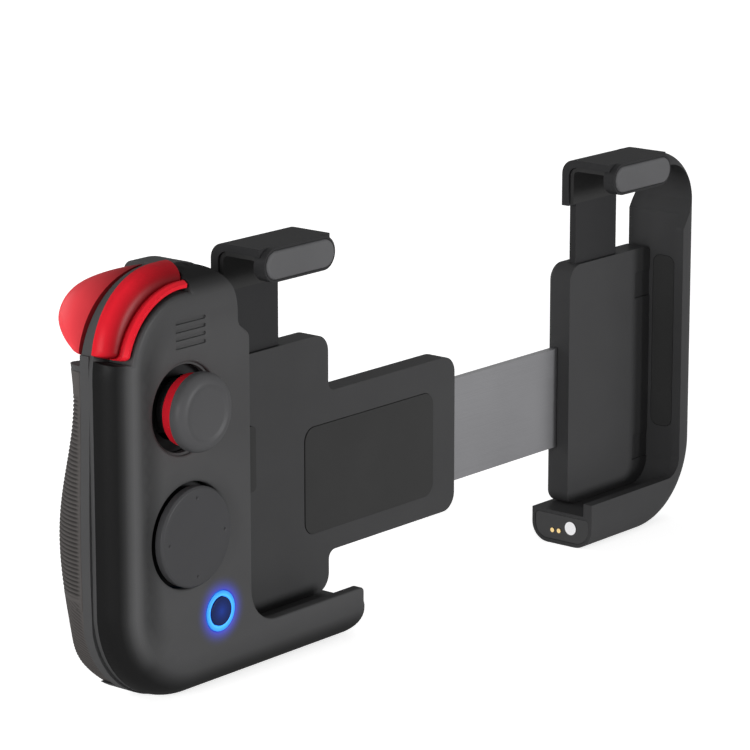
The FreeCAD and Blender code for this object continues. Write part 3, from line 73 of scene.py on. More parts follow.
def moulded_plastic(name, colour, rough, specular=0.0, grain=0.00025, depth=0.3, clouds=0.1, coat=0.1):
    """Plastic whose colour is multiplied by 1 +- clouds, by slow noise.

    Fine noise, with one grain of so many metres, lays the bump. Both noises multiplied move the roughness.
    """
    material = bpy.data.materials.new(name)
    material.use_nodes = True
    tree = material.node_tree
    shader = tree.nodes["Principled BSDF"]
    shader.inputs["Specular IOR Level"].default_value = specular
    shader.inputs["Coat Weight"].default_value = coat
    shader.inputs["Coat Roughness"].default_value = rough * 0.8
    spot = add_node(tree, "TexCoord")
    slow = add_node(tree, "TexNoise", {"Scale": 60.0, "Detail": 5.0})
    fine = add_node(tree, "TexNoise", {"Scale": 1.0 / grain, "Detail": 2.0})
    cloud = add_node(tree, "MapRange", {"To Min": 1.0 - clouds, "To Max": 1.0 + clouds})
    tint = add_node(tree, "VectorMath", {0: colour}, "SCALE")
    mixed = add_node(tree, "Math", operation="MULTIPLY")
    gloss = add_node(tree, "MapRange", {"From Max": 0.5, "To Min": rough - 0.08, "To Max": rough + 0.08})
    bump = add_node(tree, "Bump", {"Strength": depth, "Distance": grain * 0.3})
    join(tree, (spot, "Object", slow, "Vector"), (spot, "Object", fine, "Vector"),
         (slow, "Fac", cloud, "Value"), (cloud, "Result", tint, "Scale"),
         (tint, "Vector", shader, "Base Color"), (slow, "Fac", mixed, 0), (fine, "Fac", mixed, 1),
         (mixed, "Value", gloss, "Value"),
         (gloss, "Result", shader, "Roughness"), (fine, "Fac", bump, "Height"),
         (bump, "Normal", shader, "Normal"), (bump, "Normal", shader, "Coat Normal"))
    return material


def paint(material, *names):
    """Gives the named solids one material."""
    for name in names:
        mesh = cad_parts[name].data
        mesh.materials.clear()
        mesh.materials.append(material)


rim_grey = moulded_plastic("rim_grey", (0.062, 0.062, 0.063), 0.45)
paint(rim_grey, "rear_shell")


# Rubber skin over the palm bulge: soft black rubber moulded with fine ribs that run level round the hand, and
# glued into a shallow bed in the rear shell. Its sections are D shapes that swell and draw in up the palm.
disc_low, disc_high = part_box("direction_disc")
shift = np.array([(disc_low.x + disc_high.x) / 2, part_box("front_shell")[0].y, 0.0])

# Millimetres: the grip's left side and the round at its foot, the skin's outline and bed, then the palm's
# depth at its foot, bulge, neck and flare, and the ribs.
grip_side = -21.2
foot_round = 22.0
skin_low = 4.0
skin_high = 72.0
skin_right = 2.0
skin_corner = 3.0
skin_edge_roll = 0.3
bed_front = 10.5
bed_thick = 1.45
palm_foot = 14.5
bulge_z = 35.0
bulge_out = 9.1
bulge_side = 0.69
neck_z = 67.0
neck_in = 8.8
flare_high = 8.5
flare_out = 2.6
rib_pitch = 0.9
rib_height = 0.28
rib_slant = 0.55
slant_below = 24.0


def place(x, y, z):
    """Points in the frame, in metres.

    They are given in millimetres right of the disc's axis, behind the grip's face and above its foot.
    """
    return np.stack(np.broadcast_arrays(x, y, z), axis=-1) * 0.001 + shift


def grid(points, closed=True):
    """A patch of surface: points in rows and columns, with a face between each four neighbours.

    When it is closed, the last column joins the first.
    """
    rows, columns = points.shape[:2]
    number = np.arange(rows * columns).reshape(rows, columns)
    below = np.roll(number, -1, axis=0)
    corners = np.stack([number, np.roll(number, -1, axis=1), np.roll(below, -1, axis=1), below], axis=-1)
    corners = corners[: rows - 1, : columns - (not closed)]
    return points.reshape(-1, 3), corners.reshape(-1, 4).tolist()


def tube(points):
    """A closed grid with one face across its first row and one across its last."""
    surface, faces = grid(points)
    rows, columns = points.shape[:2]
    first = list(range(columns))
    last = [(rows - 1) * columns + number for number in first]
    return surface, faces + [first, last[::-1]]


def piece(name, patches, material, body, node, crease, shade=None, weld=5e-7):
    """Welds patches into one closed mesh with its faces outwards, and puts it in place of a solid."""
    points = np.concatenate([patch[0] for patch in patches])
    faces, first = [], 0
    for patch_points, patch_faces in patches:
        faces += [[first + corner for corner in face] for face in patch_faces]
        first += len(patch_points)
    mesh = bpy.data.meshes.new(name)
    mesh.from_pydata(points.tolist(), [], faces)
    if shade is not None:
        values = np.ones(len(points))
        values[: len(shade)] = shade
        mesh.attributes.new("shade", "FLOAT", "POINT").data.foreach_set("value", values)
    work = bmesh.new()
    work.from_mesh(mesh)
    bmesh.ops.remove_doubles(work, verts=work.verts, dist=weld)
    bmesh.ops.recalc_face_normals(work, faces=work.faces)
    work.to_mesh(mesh)
    work.free()
    mesh.shade_smooth()
    mesh.set_sharp_from_angle(angle=math.radians(crease))
    mesh.materials.append(material)
    made = bpy.data.objects.new(name, mesh)
    bpy.context.scene.collection.objects.link(made)
    if body:
        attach(made, body)
    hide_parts(node)
    return made


def shaded(material):
    """Multiplies a material's colour by the mesh's own values named shade."""
    tree = material.node_tree
    value = add_node(tree, "Attribute")
    value.attribute_name = "shade"
    product = add_node(tree, "Math", operation="MULTIPLY")
    join(tree, (value, "Fac", product, 0), (tree.nodes["Map Range"], "Result", product, 1),
         (product, "Value", tree.nodes["Vector Math"], "Scale"))
    return material


def skin_section(z):
    """Depth and left side of the palm at heights z: half cosine waves out to the bulge and in to the neck."""
    rise = np.clip(z / bulge_z, 0, 1)
    fall = np.clip((z - bulge_z) / (neck_z - bulge_z), 0, 1)
    flare = np.clip((z - neck_z) / flare_high, 0, 1)
    out, back = (1 - np.cos(np.pi * rise)) / 2, (1 - np.cos(np.pi * fall)) / 2
    deep = palm_foot + bulge_out * out - neck_in * back + flare_out * flare**1.6
    return deep, grip_side - bulge_side * (out - back)


def rubber_skin():
    """Rings of points up the palm, each round the D's back, corner and side, then back along the glued face.

    A rib is a cosine wave across the surface. Low down the ribs slant, and all fade out at the skin's edges.
    """
    z = np.linspace(skin_low, skin_high, 520)[:, None]
    deep, left = skin_section(z)
    corner = (deep - 10.4) * 0.92
    inset = skin_corner - np.minimum(np.minimum(z - skin_low, skin_high - z), skin_corner)
    right = skin_right - skin_corner + np.sqrt(np.clip(skin_corner**2 - inset**2, 0, None))

    def along(share, draw_in):
        """A point at each share of the way: back line, corner arc, side line. The foot's round cuts it."""
        back_run, side_run = right - (left + corner), deep - corner - bed_front
        arc_run = corner * np.pi / 2
        travel = share * (back_run + arc_run + side_run)
        turn = np.clip((travel - back_run) / arc_run, 0, 1) * np.pi / 2
        on_back = np.minimum(travel, back_run)
        on_side = np.maximum(travel - back_run - arc_run, 0)
        x = right - on_back - corner * np.sin(turn)
        y = deep - corner * (1 - np.cos(turn)) - on_side
        x, y = x + draw_in * np.sin(turn), y - draw_in * np.cos(turn)
        under = np.clip(foot_round - z, 0, None)
        foot_side = foot_round - np.sqrt(np.clip(foot_round**2 - under**2, 0, None)) + grip_side
        over = foot_side + draw_in - x
        x = np.where(z < foot_round, x + (over + np.sqrt(over**2 + 0.04)) / 2, x)
        return x, y, travel

    around = 112
    share = np.linspace(0, 1, around)[None, :]
    travel = along(share, 0)[2]
    whole = travel[:, -1:]
    slanted = np.clip((slant_below - z) / 0.3, 0, 1)
    phase = np.where(z > slant_below, z, z + rib_slant * travel) / rib_pitch
    from_ends = np.minimum(np.minimum(travel, whole - travel - 0.3), np.minimum(z - 5.0, neck_z - z))
    fade = np.clip(from_ends / 1.2, 0, 1) * np.clip(np.abs(z - slant_below) / 0.5 - 0.4, 0, 1)
    ribs = rib_height * fade * (0.5 + 0.5 * np.cos(2 * np.pi * phase)) * (1 - 0.35 * slanted)
    edge = np.minimum(np.minimum(travel, whole - travel), np.minimum(z - 3.6, skin_high - z))
    from_edge = np.clip(skin_edge_roll - edge, 0, None)
    soft = skin_edge_roll - np.sqrt(np.clip(skin_edge_roll**2 - from_edge**2, 0, None))
    outer = along(share, ribs + soft)[:2]
    inner = along(np.linspace(1, 0, 14)[None, :], bed_thick)[:2]
    x = np.concatenate([outer[0], inner[0]], axis=1)
    y = np.concatenate([outer[1], np.maximum(inner[1], bed_front)], axis=1)
    # Painted shade: the colour darkens down into each rib's groove and is a little lighter elsewhere.
    shade = np.ones(x.shape)
    shade[:, :around] = 1.15 - 0.75 * ribs / rib_height
    return tube(place(x, y, z)), shade.ravel()


grip_rubber = moulded_plastic("grip_rubber", (0.070, 0.065, 0.063), 0.62, grain=0.00012, depth=0.5, coat=0.06)
skin, skin_shade = rubber_skin()
piece("rubber_skin", [skin], shaded(grip_rubber), "grip", "rubber_grip", 70, skin_shade, 1e-9)


# Front shell of the grip: one moulding in black plastic with the face, the ledge below and a lip along both.
# The face rolls over into the sides, the disc lies in a shallow dish, and each opening has a softened rim.

# Millimetres, and degrees for the relief's two ends: the corner at the crown, the ledge, lip and bay, the
# rolls and depths of the face, the places of the controls, and the dish.
grip_top = 90.8
corner_x = -1.2
corner_z = 70.8
corner_round = 20.0
relief_round = 15.4
relief_low = 168.9
relief_high = 83.0
ledge_end = 55.0
ledge_top = 8.0
lip_side = 18.3
lip_top = 11.1
bay_side = 15.3
face_roll = 6.8
rim_roll = 0.45
slot_roll = 0.15
lip_back = 2.4
well_floor = lip_back - 0.2
slot_floor = 0.5
seam = 7.0
stick_x = -1.5
stick_z = 62.2
disc_z = 35.02
button_x = 8.5
button_z = 16.9
dish_round = 15.5
dish_slope = 4.2
dish_deep = 0.6


def measured(point):
    """The other way round from place: millimetres in the grip, from metres in the frame."""
    return (np.array(point) - shift) * 1000


def arc(across, up, radius, start, end, count):
    """Points of a circle's arc between two angles in degrees."""
    turn = np.radians(np.linspace(start, end, count))
    return np.stack([across + radius * np.cos(turn), up + radius * np.sin(turn)], axis=1)


def circle(across, up, radius, count):
    """Points round a full circle."""
    return arc(across, up, radius, 0, 360, count + 1)[:-1]


def rounded(corners, closed=True, spacing=0.8):
    """A line through corners (across, up, radius) that arcs round off, with points about a spacing apart."""
    corners = [tuple(corner) + (0.0,) * (3 - len(corner)) for corner in corners]
    runs = []
    for number, (x, y, radius) in enumerate(corners):
        here = np.array([x, y])
        if not closed and number in (0, len(corners) - 1) or radius == 0:
            runs.append(here[None])
            continue
        before = np.array(corners[number - 1][:2]) - here
        after = np.array(corners[(number + 1) % len(corners)][:2]) - here
        before, after = before / np.hypot(*before), after / np.hypot(*after)
        half = math.acos(np.clip(before @ after, -1, 1)) / 2
        middle = (before + after) / np.hypot(*(before + after))
        centre = here + middle * radius / math.sin(half)
        first = here + before * radius / math.tan(half) - centre
        last = here + after * radius / math.tan(half) - centre
        start, end = math.atan2(first[1], first[0]), math.atan2(last[1], last[0])
        sweep = (end - start + math.pi) % (2 * math.pi) - math.pi
        count = max(4, int(abs(sweep) * radius / spacing) + 2)
        runs.append(arc(*centre, radius, math.degrees(start), math.degrees(start + sweep), count))
    line = []
    for number, run in enumerate(runs):
        line.append(run)
        if closed or number < len(runs) - 1:
            end, start = runs[(number + 1) % len(runs)][0], run[-1]
            count = int(np.hypot(*(end - start)) / spacing / 1.5)
            line.append(start + (end - start) * np.linspace(0, 1, count + 2)[1:-1, None])
    return np.concatenate(line)


def rounded_box(left, right, low, high, radius, spacing):
    """An upright box's outline with four equal rounded corners."""
    return rounded([(left, low, radius), (right, low, radius), (right, high, radius), (left, high, radius)],
                   spacing=spacing)


def distance(points, loop, closed=True):
    """Shortest distance from each point to the straight runs of a line."""
    ends = np.roll(loop, -1, axis=0)
    if not closed:
        loop, ends = loop[:-1], ends[:-1]
    run = ends - loop
    reach = points[:, None] - loop[None]
    share = np.clip((reach * run).sum(-1) / np.maximum((run**2).sum(-1), 1e-12), 0, 1)
    return np.sqrt((((reach - share[..., None] * run) ** 2).sum(-1)).min(1))


def inside(points, loop):
    """Whether each point is inside a closed line, by counting the runs that cross its level to the right."""
    ends = np.roll(loop, -1, axis=0)
    x, y = points[:, None, 0], points[:, None, 1]
    spans = (loop[None, :, 1] > y) != (ends[None, :, 1] > y)
    rise = np.where(ends[:, 1] == loop[:, 1], 1e-9, ends[:, 1] - loop[:, 1])
    cross = loop[None, :, 0] + (y - loop[None, :, 1]) * (ends[:, 0] - loop[:, 0])[None] / rise[None]
    return (spans & (x < cross)).sum(1) % 2 == 1


def on_plate(points, outer, holes):
    """Whether each point is inside the outer line and outside every hole."""
    return inside(points, outer) & ~np.any([inside(points, hole) for hole in holes], axis=0)


def plate(outer, holes=(), extra=(), lattice=6.0):
    """Triangles that fill an outline around its holes, through extra points and a lattice of points.

    A lattice point gives way to an extra one in its cell. Triangles join into regions that end at the
    outlines, and a region is kept when the middle of its largest triangle lies on the plate.
    """
    loops = [outer, *holes]
    low, high = outer.min(0), outer.max(0)
    across, up = np.meshgrid(np.arange(low[0], high[0], lattice), np.arange(low[1], high[1], lattice * 0.87))
    across = across + (np.arange(len(across)) % 2)[:, None] * lattice / 2
    free = np.stack([across.ravel(), up.ravel()], axis=1)
    if len(extra):
        near = np.concatenate(extra)
        cell = np.floor(np.concatenate([free, near]) / (0.5 * lattice)).astype(int) @ [1, 100003]
        taken = np.isin(cell[: len(free)], cell[len(free):])
        free = np.concatenate([free[~taken], near])
    least_gap = 0.012
    free = free[np.min([distance(free, loop) for loop in loops], axis=0) > least_gap]
    free = free[on_plate(free, outer, holes)]
    edges, first = [], 0
    for loop in loops:
        number = np.arange(len(loop)) + first
        edges += np.stack([number, np.roll(number, -1)], axis=1).tolist()
        first += len(loop)
    corners = [Vector(point) for point in np.concatenate([*loops, free]).tolist()]
    points, lines, faces, _, origins, _ = delaunay_2d_cdt(corners, edges, [], 0, 1e-7)
    points, faces = np.array([tuple(point) for point in points]), np.array(faces)
    outlines = np.array(lines)[[len(origin) > 0 for origin in origins]]
    outlines = np.sort(outlines, axis=1) @ [len(points), 1]
    sides = np.stack([faces, np.roll(faces, -1, axis=1)], axis=-1).reshape(-1, 2)
    sides = np.sort(sides, axis=1) @ [len(points), 1]
    order = np.argsort(sides, kind="stable")
    sides, owner = sides[order], np.repeat(np.arange(len(faces)), 3)[order]
    pair = np.flatnonzero(sides[1:] == sides[:-1])
    pair = pair[~np.isin(sides[pair], outlines)]
    one, two = owner[pair], owner[pair + 1]
    region = np.arange(len(faces))
    while (region[one] != region[two]).any():
        least = np.minimum(region[one], region[two])
        np.minimum.at(region, one, least)
        np.minimum.at(region, two, least)
        region = region[region]
    spans = points[faces[:, 1:]] - points[faces[:, :1]]
    area = abs(spans[:, 0, 0] * spans[:, 1, 1] - spans[:, 0, 1] * spans[:, 1, 0]) / 2
    rank = np.argsort(area)
    largest = np.zeros(len(faces), int)
    largest[region[rank]] = rank
    largest = largest[region]
    middle = points[faces].mean(1)[largest]
    return points, faces[on_plate(middle, outer, holes) & (area[largest] > 0.001)]


def sheet(depth, outer, holes=(), lattice=6.0):
    """A flat patch at one depth, inside an outline and around its holes."""
    flat, triangles = plate(outer, holes, lattice=lattice)
    return place(flat[:, 0], depth, flat[:, 1]), triangles.tolist()


def wall(line, front, back, closed=True, halved=True):
    """A strip between two depths along a line, with the depths given once or for each point.

    A halved strip has a middle row, at the lip's back wherever the strip passes it, so that they meet.
    """
    front, back = np.broadcast_to(front, len(line)), np.broadcast_to(back, len(line))
    depths = [front, back]
    if halved:
        passes = (front < lip_back - 0.05) & (back > lip_back + 0.05)
        depths.insert(1, np.where(passes, lip_back, (front + back) / 2))
    return grid(np.stack([place(line[:, 0], depth, line[:, 1]) for depth in depths]), closed)


def rolled(inset, radius):
    """How far a rounded edge falls back at a distance in from its side: the circle's height there."""
    inset = np.clip(np.where(inset < 2e-4, 0, inset), 0, radius)
    return radius - np.sqrt(radius**2 - (radius - inset) ** 2)


# The outline that the face and the seam share runs from the ledge's end round the foot, up the left side,
# along the relief for the bumper and over the crown. The lip and the bay behind it close it on the right.
relief = arc(corner_x, corner_z, relief_round, relief_low, relief_high, 40)
relief_end = (1.27, grip_top)
bay_start = (bay_side, 76.67)
shared = np.concatenate([
    rounded([(ledge_end, ledge_top), (ledge_end, 0, 6), (grip_side, 0, foot_round), (grip_side, corner_z)],
            closed=False),
    arc(corner_x, corner_z, corner_round, 180, relief_low, 6)[1:],
    relief,
    rounded([relief_end, (14.6, grip_top, 11), (14.6, 77.2, 1.6), bay_start], closed=False),
])
lip_line = rounded([bay_start, (lip_side, 74.4, 2), (lip_side, lip_top, 8.1), (ledge_end, lip_top, 1),
                    (ledge_end, ledge_top)], closed=False)
bay_line = rounded([bay_start, (bay_side, ledge_top, 6), (ledge_end, ledge_top)], closed=False)
face_loop = np.concatenate([shared, lip_line[1:-1]])
bay_loop = np.concatenate([shared, bay_line[1:-1]])
lip_loop = np.concatenate([lip_line, bay_line[::-1][1:-1]])
inner_loop = rounded([(-15.2, 4, 16), (13.1, 4, 2), (13.1, 84.8, 8.8), (-15.2, 84.8, 14)])
cut_line = np.concatenate([arc(corner_x, corner_z, corner_round, 170, relief_low, 2), relief, [relief_end]])

# Each round opening's centre, radius and number of points: the stick's, the disc's and the button's.
holes = ((stick_x, stick_z, 9.75, 96), (0, disc_z, 11.3, 112), (button_x, button_z, 4.45, 56))
openings = [circle(*hole) for hole in holes]
socket_step = circle(stick_x, stick_z, 9.2, 96)
slot_high = 0.7
slots = [rounded_box(-4.1, 4.9, z, z + slot_high, 0.3, spacing=0.3) for z in (74.9, 76.6, 78.3, 80.0)]


def blank_inset(points):
    """Distance in from the left, the bottom and the top of the blank, round its two left corners."""
    x, z = points[:, 0], points[:, 1]
    inset = np.minimum(np.minimum(x - grip_side, z), grip_top - z)
    for radius, centre_z, beyond in (
            (foot_round, foot_round, z < foot_round),
            (corner_round, grip_top - corner_round, z > grip_top - corner_round)):
        in_corner = beyond & (x < grip_side + radius)
        round_inset = radius - np.hypot(x - grip_side - radius, z - centre_z)
        inset = np.where(in_corner, round_inset, inset)
    return inset


def face_depth(points):
    """Depth of the face: the greater of the rolled sides and the dish, plus the softened rims."""
    from_middle = np.hypot(points[:, 0], points[:, 1] - disc_z)
    dish = dish_deep * np.clip((dish_round - from_middle) / dish_slope, 0, 1)
    depth = np.maximum(rolled(blank_inset(points), face_roll), dish)
    rims = [distance(points, lip_line, closed=False), distance(points, cut_line, closed=False)]
    rims += [distance(points, opening) for opening in openings]
    near_slot = np.min([distance(points, slot) for slot in slots], axis=0)
    depth = depth + rolled(np.min(rims, axis=0), rim_roll) + rolled(near_slot, slot_roll)
    return np.minimum(depth, seam - 0.05)


def blank_line(inset):
    """The blank's outline drawn in by an inset."""
    left, high = inset + grip_side, grip_top - inset
    return rounded([(60, inset), (left, inset, foot_round - inset), (left, high, corner_round - inset),
                    (20, high)], closed=False)


def offset(line, inset, closed=False):
    """A line moved sideways by an inset, along the mean of its neighbours' directions."""
    if closed:
        run = np.roll(line, -1, axis=0) - np.roll(line, 1, axis=0)
    else:
        run = np.gradient(line, axis=0)
    run = run / np.hypot(run[:, 0], run[:, 1])[:, None]
    return line + inset * np.stack([-run[:, 1], run[:, 0]], axis=1)


def shell_shade(points):
    """Painted shade: share of the colour by the inset from the sides, low at the seam, rising to 1 on the
    face.

    On the left it rises instead through a painted highlight half way round the roll, then dips before the
    face. Behind the lip it rises sooner.
    """
    x, deep, z = points.T
    inset = blank_inset(points[:, [0, 2]])
    leftward = np.cos(np.arctan2(np.clip(foot_round - z, 0, None), np.maximum(0.8 - x, 0.1)))
    leftward = np.clip((leftward - 0.7) / 0.3, 0, 1) * np.clip((84 - z) / 12, 0, 1)
    painted_light_band = np.interp(inset, (1.6, 2.6, 3.6, 4.6, 5.6, 6.8, 8.2, 10.0, 13.0),
                     (0, 0.2, 0.85, 1.25, 1.12, 0.72, 0.44, 0.6, 1.0))
    plain = np.interp(inset, (2.4, 4.0, 6.0, 8.5), (0, 0.3, 0.8, 1.0))
    rise = leftward * painted_light_band + (1 - leftward) * plain
    rise = np.where(deep > lip_back - 0.3, np.clip(inset - 2.0, 0, 1), rise)
    return 0.14 + 0.86 * rise


# Extra points lie where the face bends: along its roll, at every rim and round the dish.
rings = [blank_line(face_roll * (1 - math.cos(turn))) for turn in np.linspace(0, np.pi / 2, 16)[1:]]
rim_steps = (0.03, 0.1, 0.22, rim_roll)
for line in (lip_line, cut_line):
    rings += [offset(line, side * step) for side in (-1, 1) for step in rim_steps]
for hole_x, hole_z, radius, count in holes:
    rings += [circle(hole_x, hole_z, radius + step, count) for step in rim_steps]
rings += [circle(0, disc_z, radius, 112) for radius in (12.4, 13.4, 14.4, dish_round)]
for slot in slots:
    rings += [offset(slot, -step, closed=True) for step in (0.03, 0.08, slot_roll)]
flat, triangles = plate(face_loop, openings + slots, rings, lattice=2.2)
step_depth = face_depth(openings[0]) + 0.4
patches = [
    (place(flat[:, 0], face_depth(flat), flat[:, 1]), triangles.tolist()),
    wall(shared, face_depth(shared), seam, closed=False),
    wall(lip_line, face_depth(lip_line), lip_back, closed=False, halved=False),
    wall(bay_line, lip_back, seam, closed=False, halved=False),
    sheet(lip_back, lip_loop, lattice=4.0),
    sheet(seam, bay_loop, [inner_loop]),
    wall(inner_loop, well_floor, seam),
    sheet(well_floor, inner_loop, [socket_step, *openings[1:]], lattice=5.0),
    wall(openings[0], face_depth(openings[0]), step_depth),
    grid(np.stack([place(line[:, 0], step_depth, line[:, 1]) for line in (openings[0], socket_step)])),
    wall(socket_step, step_depth, well_floor),
]
patches += [wall(opening, face_depth(opening), well_floor) for opening in openings[1:]]
for slot in slots:
    patches += [wall(slot, face_depth(slot), slot_floor), sheet(slot_floor, slot, lattice=4.0)]

shell_black = moulded_plastic("shell_black", (0.058, 0.058, 0.059), 0.45)
# The moulding's painted shade and painted highlight, read from each point's place.
shade = shell_shade(measured(np.concatenate([patch[0] for patch in patches])))
piece("front_shell_moulding", patches, shaded(shell_black), "grip", "front_shell", 30, shade)


# Bumper: one red lacquered moulding, pivoted on a steel pin at the crown. It follows the round of the corner
# with a bright flange next to the face, a hollow fillet, and a broad dome that slopes back to the seam.

# Millimetres, and degrees for the low end's place and the turn from there to the high end.
bumper_run = 56.57
bumper_low = 166.6
bumper_turn = 82.6
bumper_inner = -3.8
bumper_back = 6.7
flange_outer = -3.0
flange_front = 0.72
dome_inner = -2.6
dome_foot = 2.75
dome_high = 3.78
dome_swell = 0.87


def quarter(travel, radius):
    """The drop of a quarter circle at a distance in from its end: 0 far in, and the radius at the end."""
    return radius * (1 - np.sqrt(1 - np.clip((radius - travel) / radius, 0, 1) ** 2))


def sections(rows, *parts):
    """Joins parts of a section, each an (across, depth) pair of numbers or arrays, for that many rows."""
    spread = [np.broadcast_arrays(across, deep, np.zeros((rows, 1)))[:2] for across, deep in parts]
    return [np.concatenate(columns, axis=1) for columns in zip(*spread)]


def round_corner(angle, across, deep):
    """Sections carried round the grip's upper corner, where across is the distance out from its round."""
    radius = corner_round + across
    return tube(place(corner_x + radius * np.cos(angle), deep, corner_z + radius * np.sin(angle)))


def bumper_dome():
    """Sections of (across, depth) round the corner, from the flange up a hollow onto a quarter ellipse.

    Near the low end the flange's edge and the dome's foot turn back along quarter circles, and the dome's
    height falls along another, so that the flange runs on round the dome's end. The high end is only rounded
    over. The shade is painted: darker in the hollow, darkest at the dome's foot and growing lighter towards
    its back, less so towards the high end.
    """
    side = np.concatenate([
        np.linspace(0, 1, 45)[:-1] ** 1.6 * 5, np.linspace(5, 51, 60),
        bumper_run - np.linspace(1, 0, 24)[1:] ** 1.6 * 5.5])[:, None]
    angle = np.radians(bumper_low - side / bumper_run * bumper_turn)
    over_end = quarter(bumper_run - side, 1.0)
    edge = flange_front + quarter(side, 3.0) * 0.85 + over_end * 0.5
    foot = dome_foot + quarter(side - 0.5, 2.6) * 0.9 + over_end * 0.3
    height = (1 - quarter(side - 0.1, 0.9) / 0.9) * (1 - 0.25 * over_end)
    swell = dome_high + dome_swell * np.sin(np.pi * np.clip((np.degrees(angle) - 94) / 70, 0, 1))
    turn = np.linspace(0, np.pi / 2, 25)[None, 1:]
    dome = (dome_inner + swell * height * np.sin(turn), bumper_back - (bumper_back - foot) * np.cos(turn))
    share = np.linspace(0, 1, 7)[None]
    hollow = (-2.75 + 0.4 * np.sin(np.pi * share), edge + 0.45 + (foot - edge - 0.45) * share)
    back = np.minimum(-1.5, dome[0][:, -1:] - 0.2)
    across, deep = sections(len(side), (bumper_inner, edge + 0.15), (flange_outer, edge), hollow, dome,
                            (back, bumper_back), (back, 5.6), (bumper_inner, 4.6))
    high = np.clip((side - 30.0) / 20.0, 0, 1)
    share = np.clip(turn / (np.pi / 2) / (0.72 + 0.2 * high), 0, 1)
    # Painted shade: darker in the hollow and at the dome's foot, lighter towards the dome's back.
    shade = np.ones(across.shape)
    shade[:, 4:9] = 0.75
    shade[:, 9:33] = 0.15 + 0.85 * share**1.3 * (1 - 0.4 * high)
    return round_corner(angle, across, deep), shade.ravel()


def lacquer(name, colour, rough, metallic=0.0, flake=0.0):
    """Paint under a clear coat: slow tint noise, faint orange-peel bump, and flakes that turn the normal."""
    material = moulded_plastic(name, colour, rough, grain=0.0012, depth=0.03, clouds=0.06, coat=0.12)
    tree = material.node_tree
    shader = tree.nodes["Principled BSDF"]
    shader.inputs["Metallic"].default_value = metallic
    if flake:
        flake_size = 0.00009
        cells = add_node(tree, "TexVoronoi", {"Scale": 1.0 / flake_size})
        tilt = add_node(tree, "Bump", {"Strength": flake, "Distance": 0.00002})
        join(tree, (tree.nodes["Texture Coordinate"], "Object", cells, "Vector"),
             (cells, "Distance", tilt, "Height"), (tilt, "Normal", shader, "Normal"))
    return material


def slab(loop, front, back):
    """A flat plate between two depths with a closed outline."""
    return [sheet(front, loop), wall(loop, front, back), sheet(back, loop)]


red_lacquer = lacquer("red_lacquer", (0.62, 0.013, 0.024), 0.4)
bumper_lug = slab(rounded([(-3.2, 85.0), (5.3, 84.7, 1.6), (5.3, 88.1, 1.6), (-3.2, 88.0)]), 3.4, 5.4)
dome, dome_shade = bumper_dome()
piece("bumper", [dome, *bumper_lug], shaded(red_lacquer), "bumper", "l1_bumper", 40, dome_shade)


# Trigger: a hollow red moulding, a horn with a smooth dome that is fuller in its middle than at its ends. It
# is pivoted on a steel pin behind the bumper.

# Degrees round the corner for the horn's two ends, then millimetres.
horn_start = 90.5
horn_end = 167.3
horn_front = 11.05
horn_foot = -3.4

# Angle round the corner in degrees, how far the horn reaches back, and how far its edge stands out.
horn = np.array([
    (92, 0.8, 0.0), (96, 2.2, 0.0), (100, 3.8, 0.05), (106, 5.8, 0.1), (112, 7.6, 0.2), (118, 9.2, 0.3),
    (124, 10.2, 0.4), (130, 10.6, 0.5), (136, 10.6, 0.6), (142, 10.3, 0.6), (148, 9.6, 0.6), (154, 8.1, 0.5),
    (160, 5.9, 0.4), (164, 3.6, 0.3), (168, 0.9, 0.1)])


def trigger_horn():
    """Sections of (across, depth) carried round the corner: a flat front, a crisp edge, a curve to the back.

    The curve is a cubic through the edge, two pulls and the back foot. Length and edge height are those of
    the table, smoothed by moving means, and both ends close along a quarter circle. The shade is painted: the
    colour darkens towards the crown, most on the flat front, and a little next to the crisp edge.
    """
    degrees = np.linspace(horn_start, horn_end, 120)
    long = np.interp(degrees, horn[:, 0], horn[:, 1])
    edge = np.interp(degrees, horn[:, 0], horn[:, 2])
    for _ in range(25):
        long[1:-1] = (long[:-2] + 2 * long[1:-1] + long[2:]) / 4
        edge[1:-1] = (edge[:-2] + 2 * edge[1:-1] + edge[2:]) / 4
    from_end = np.clip(1 - np.minimum(degrees - horn_start, horn_end - degrees) / 2.5, 0, 1)
    close = np.sqrt(np.clip(1 - from_end**2, 0.004, 1))
    long, edge, close = long[:, None], edge[:, None], close[:, None]
    pull = np.linspace(0, 1, 33)[None]
    weights = [(1 - pull) ** 3, 3 * pull * (1 - pull) ** 2, 3 * pull**2 * (1 - pull), pull**3]
    corners = [(edge, 0), (edge + 0.1 * long, 0.4 * long), (edge - 0.1, 1.1 * long), (horn_foot, long)]
    curve = [sum(weight * corner[part] for weight, corner in zip(weights, corners)) for part in (0, 1)]
    across, deep = sections(len(degrees), (horn_foot, 0), (edge - 0.03, 0), curve)
    across = -2.0 + (across + 2.0) * close
    deep = horn_front + deep * (0.3 + 0.7 * close)
    angle = np.radians(degrees)[:, None]
    # Painted shade: darker towards the crown, darkest on the flat front, a little darker next to the crisp
    # edge.
    falling = np.clip((np.degrees(angle) - 96) / 40, 0, 1) ** 0.8
    painted_edge_shade = np.concatenate([np.full((1, 2), 0.4), 0.75 + 0.25 * np.minimum(1, 3 * pull)], axis=1)
    return round_corner(angle, across, deep), ((0.3 + 0.7 * falling) * painted_edge_shade).ravel()


red_plain = lacquer("red_plain", (0.72, 0.050, 0.062), 0.4)
trigger_lug = slab(rounded([
    (-9.0, 82.6), (4.8, 83.3, 1.6), (4.8, 87.1, 1.6), (-2.0, 87.1), (-5.0, 88.4), (-9.0, 88.4)]), 11.6, 14.0)
horn_skin, horn_shade = trigger_horn()
piece("trigger", [horn_skin, *trigger_lug], shaded(red_plain), "trigger", "l2_trigger", 40, horn_shade)


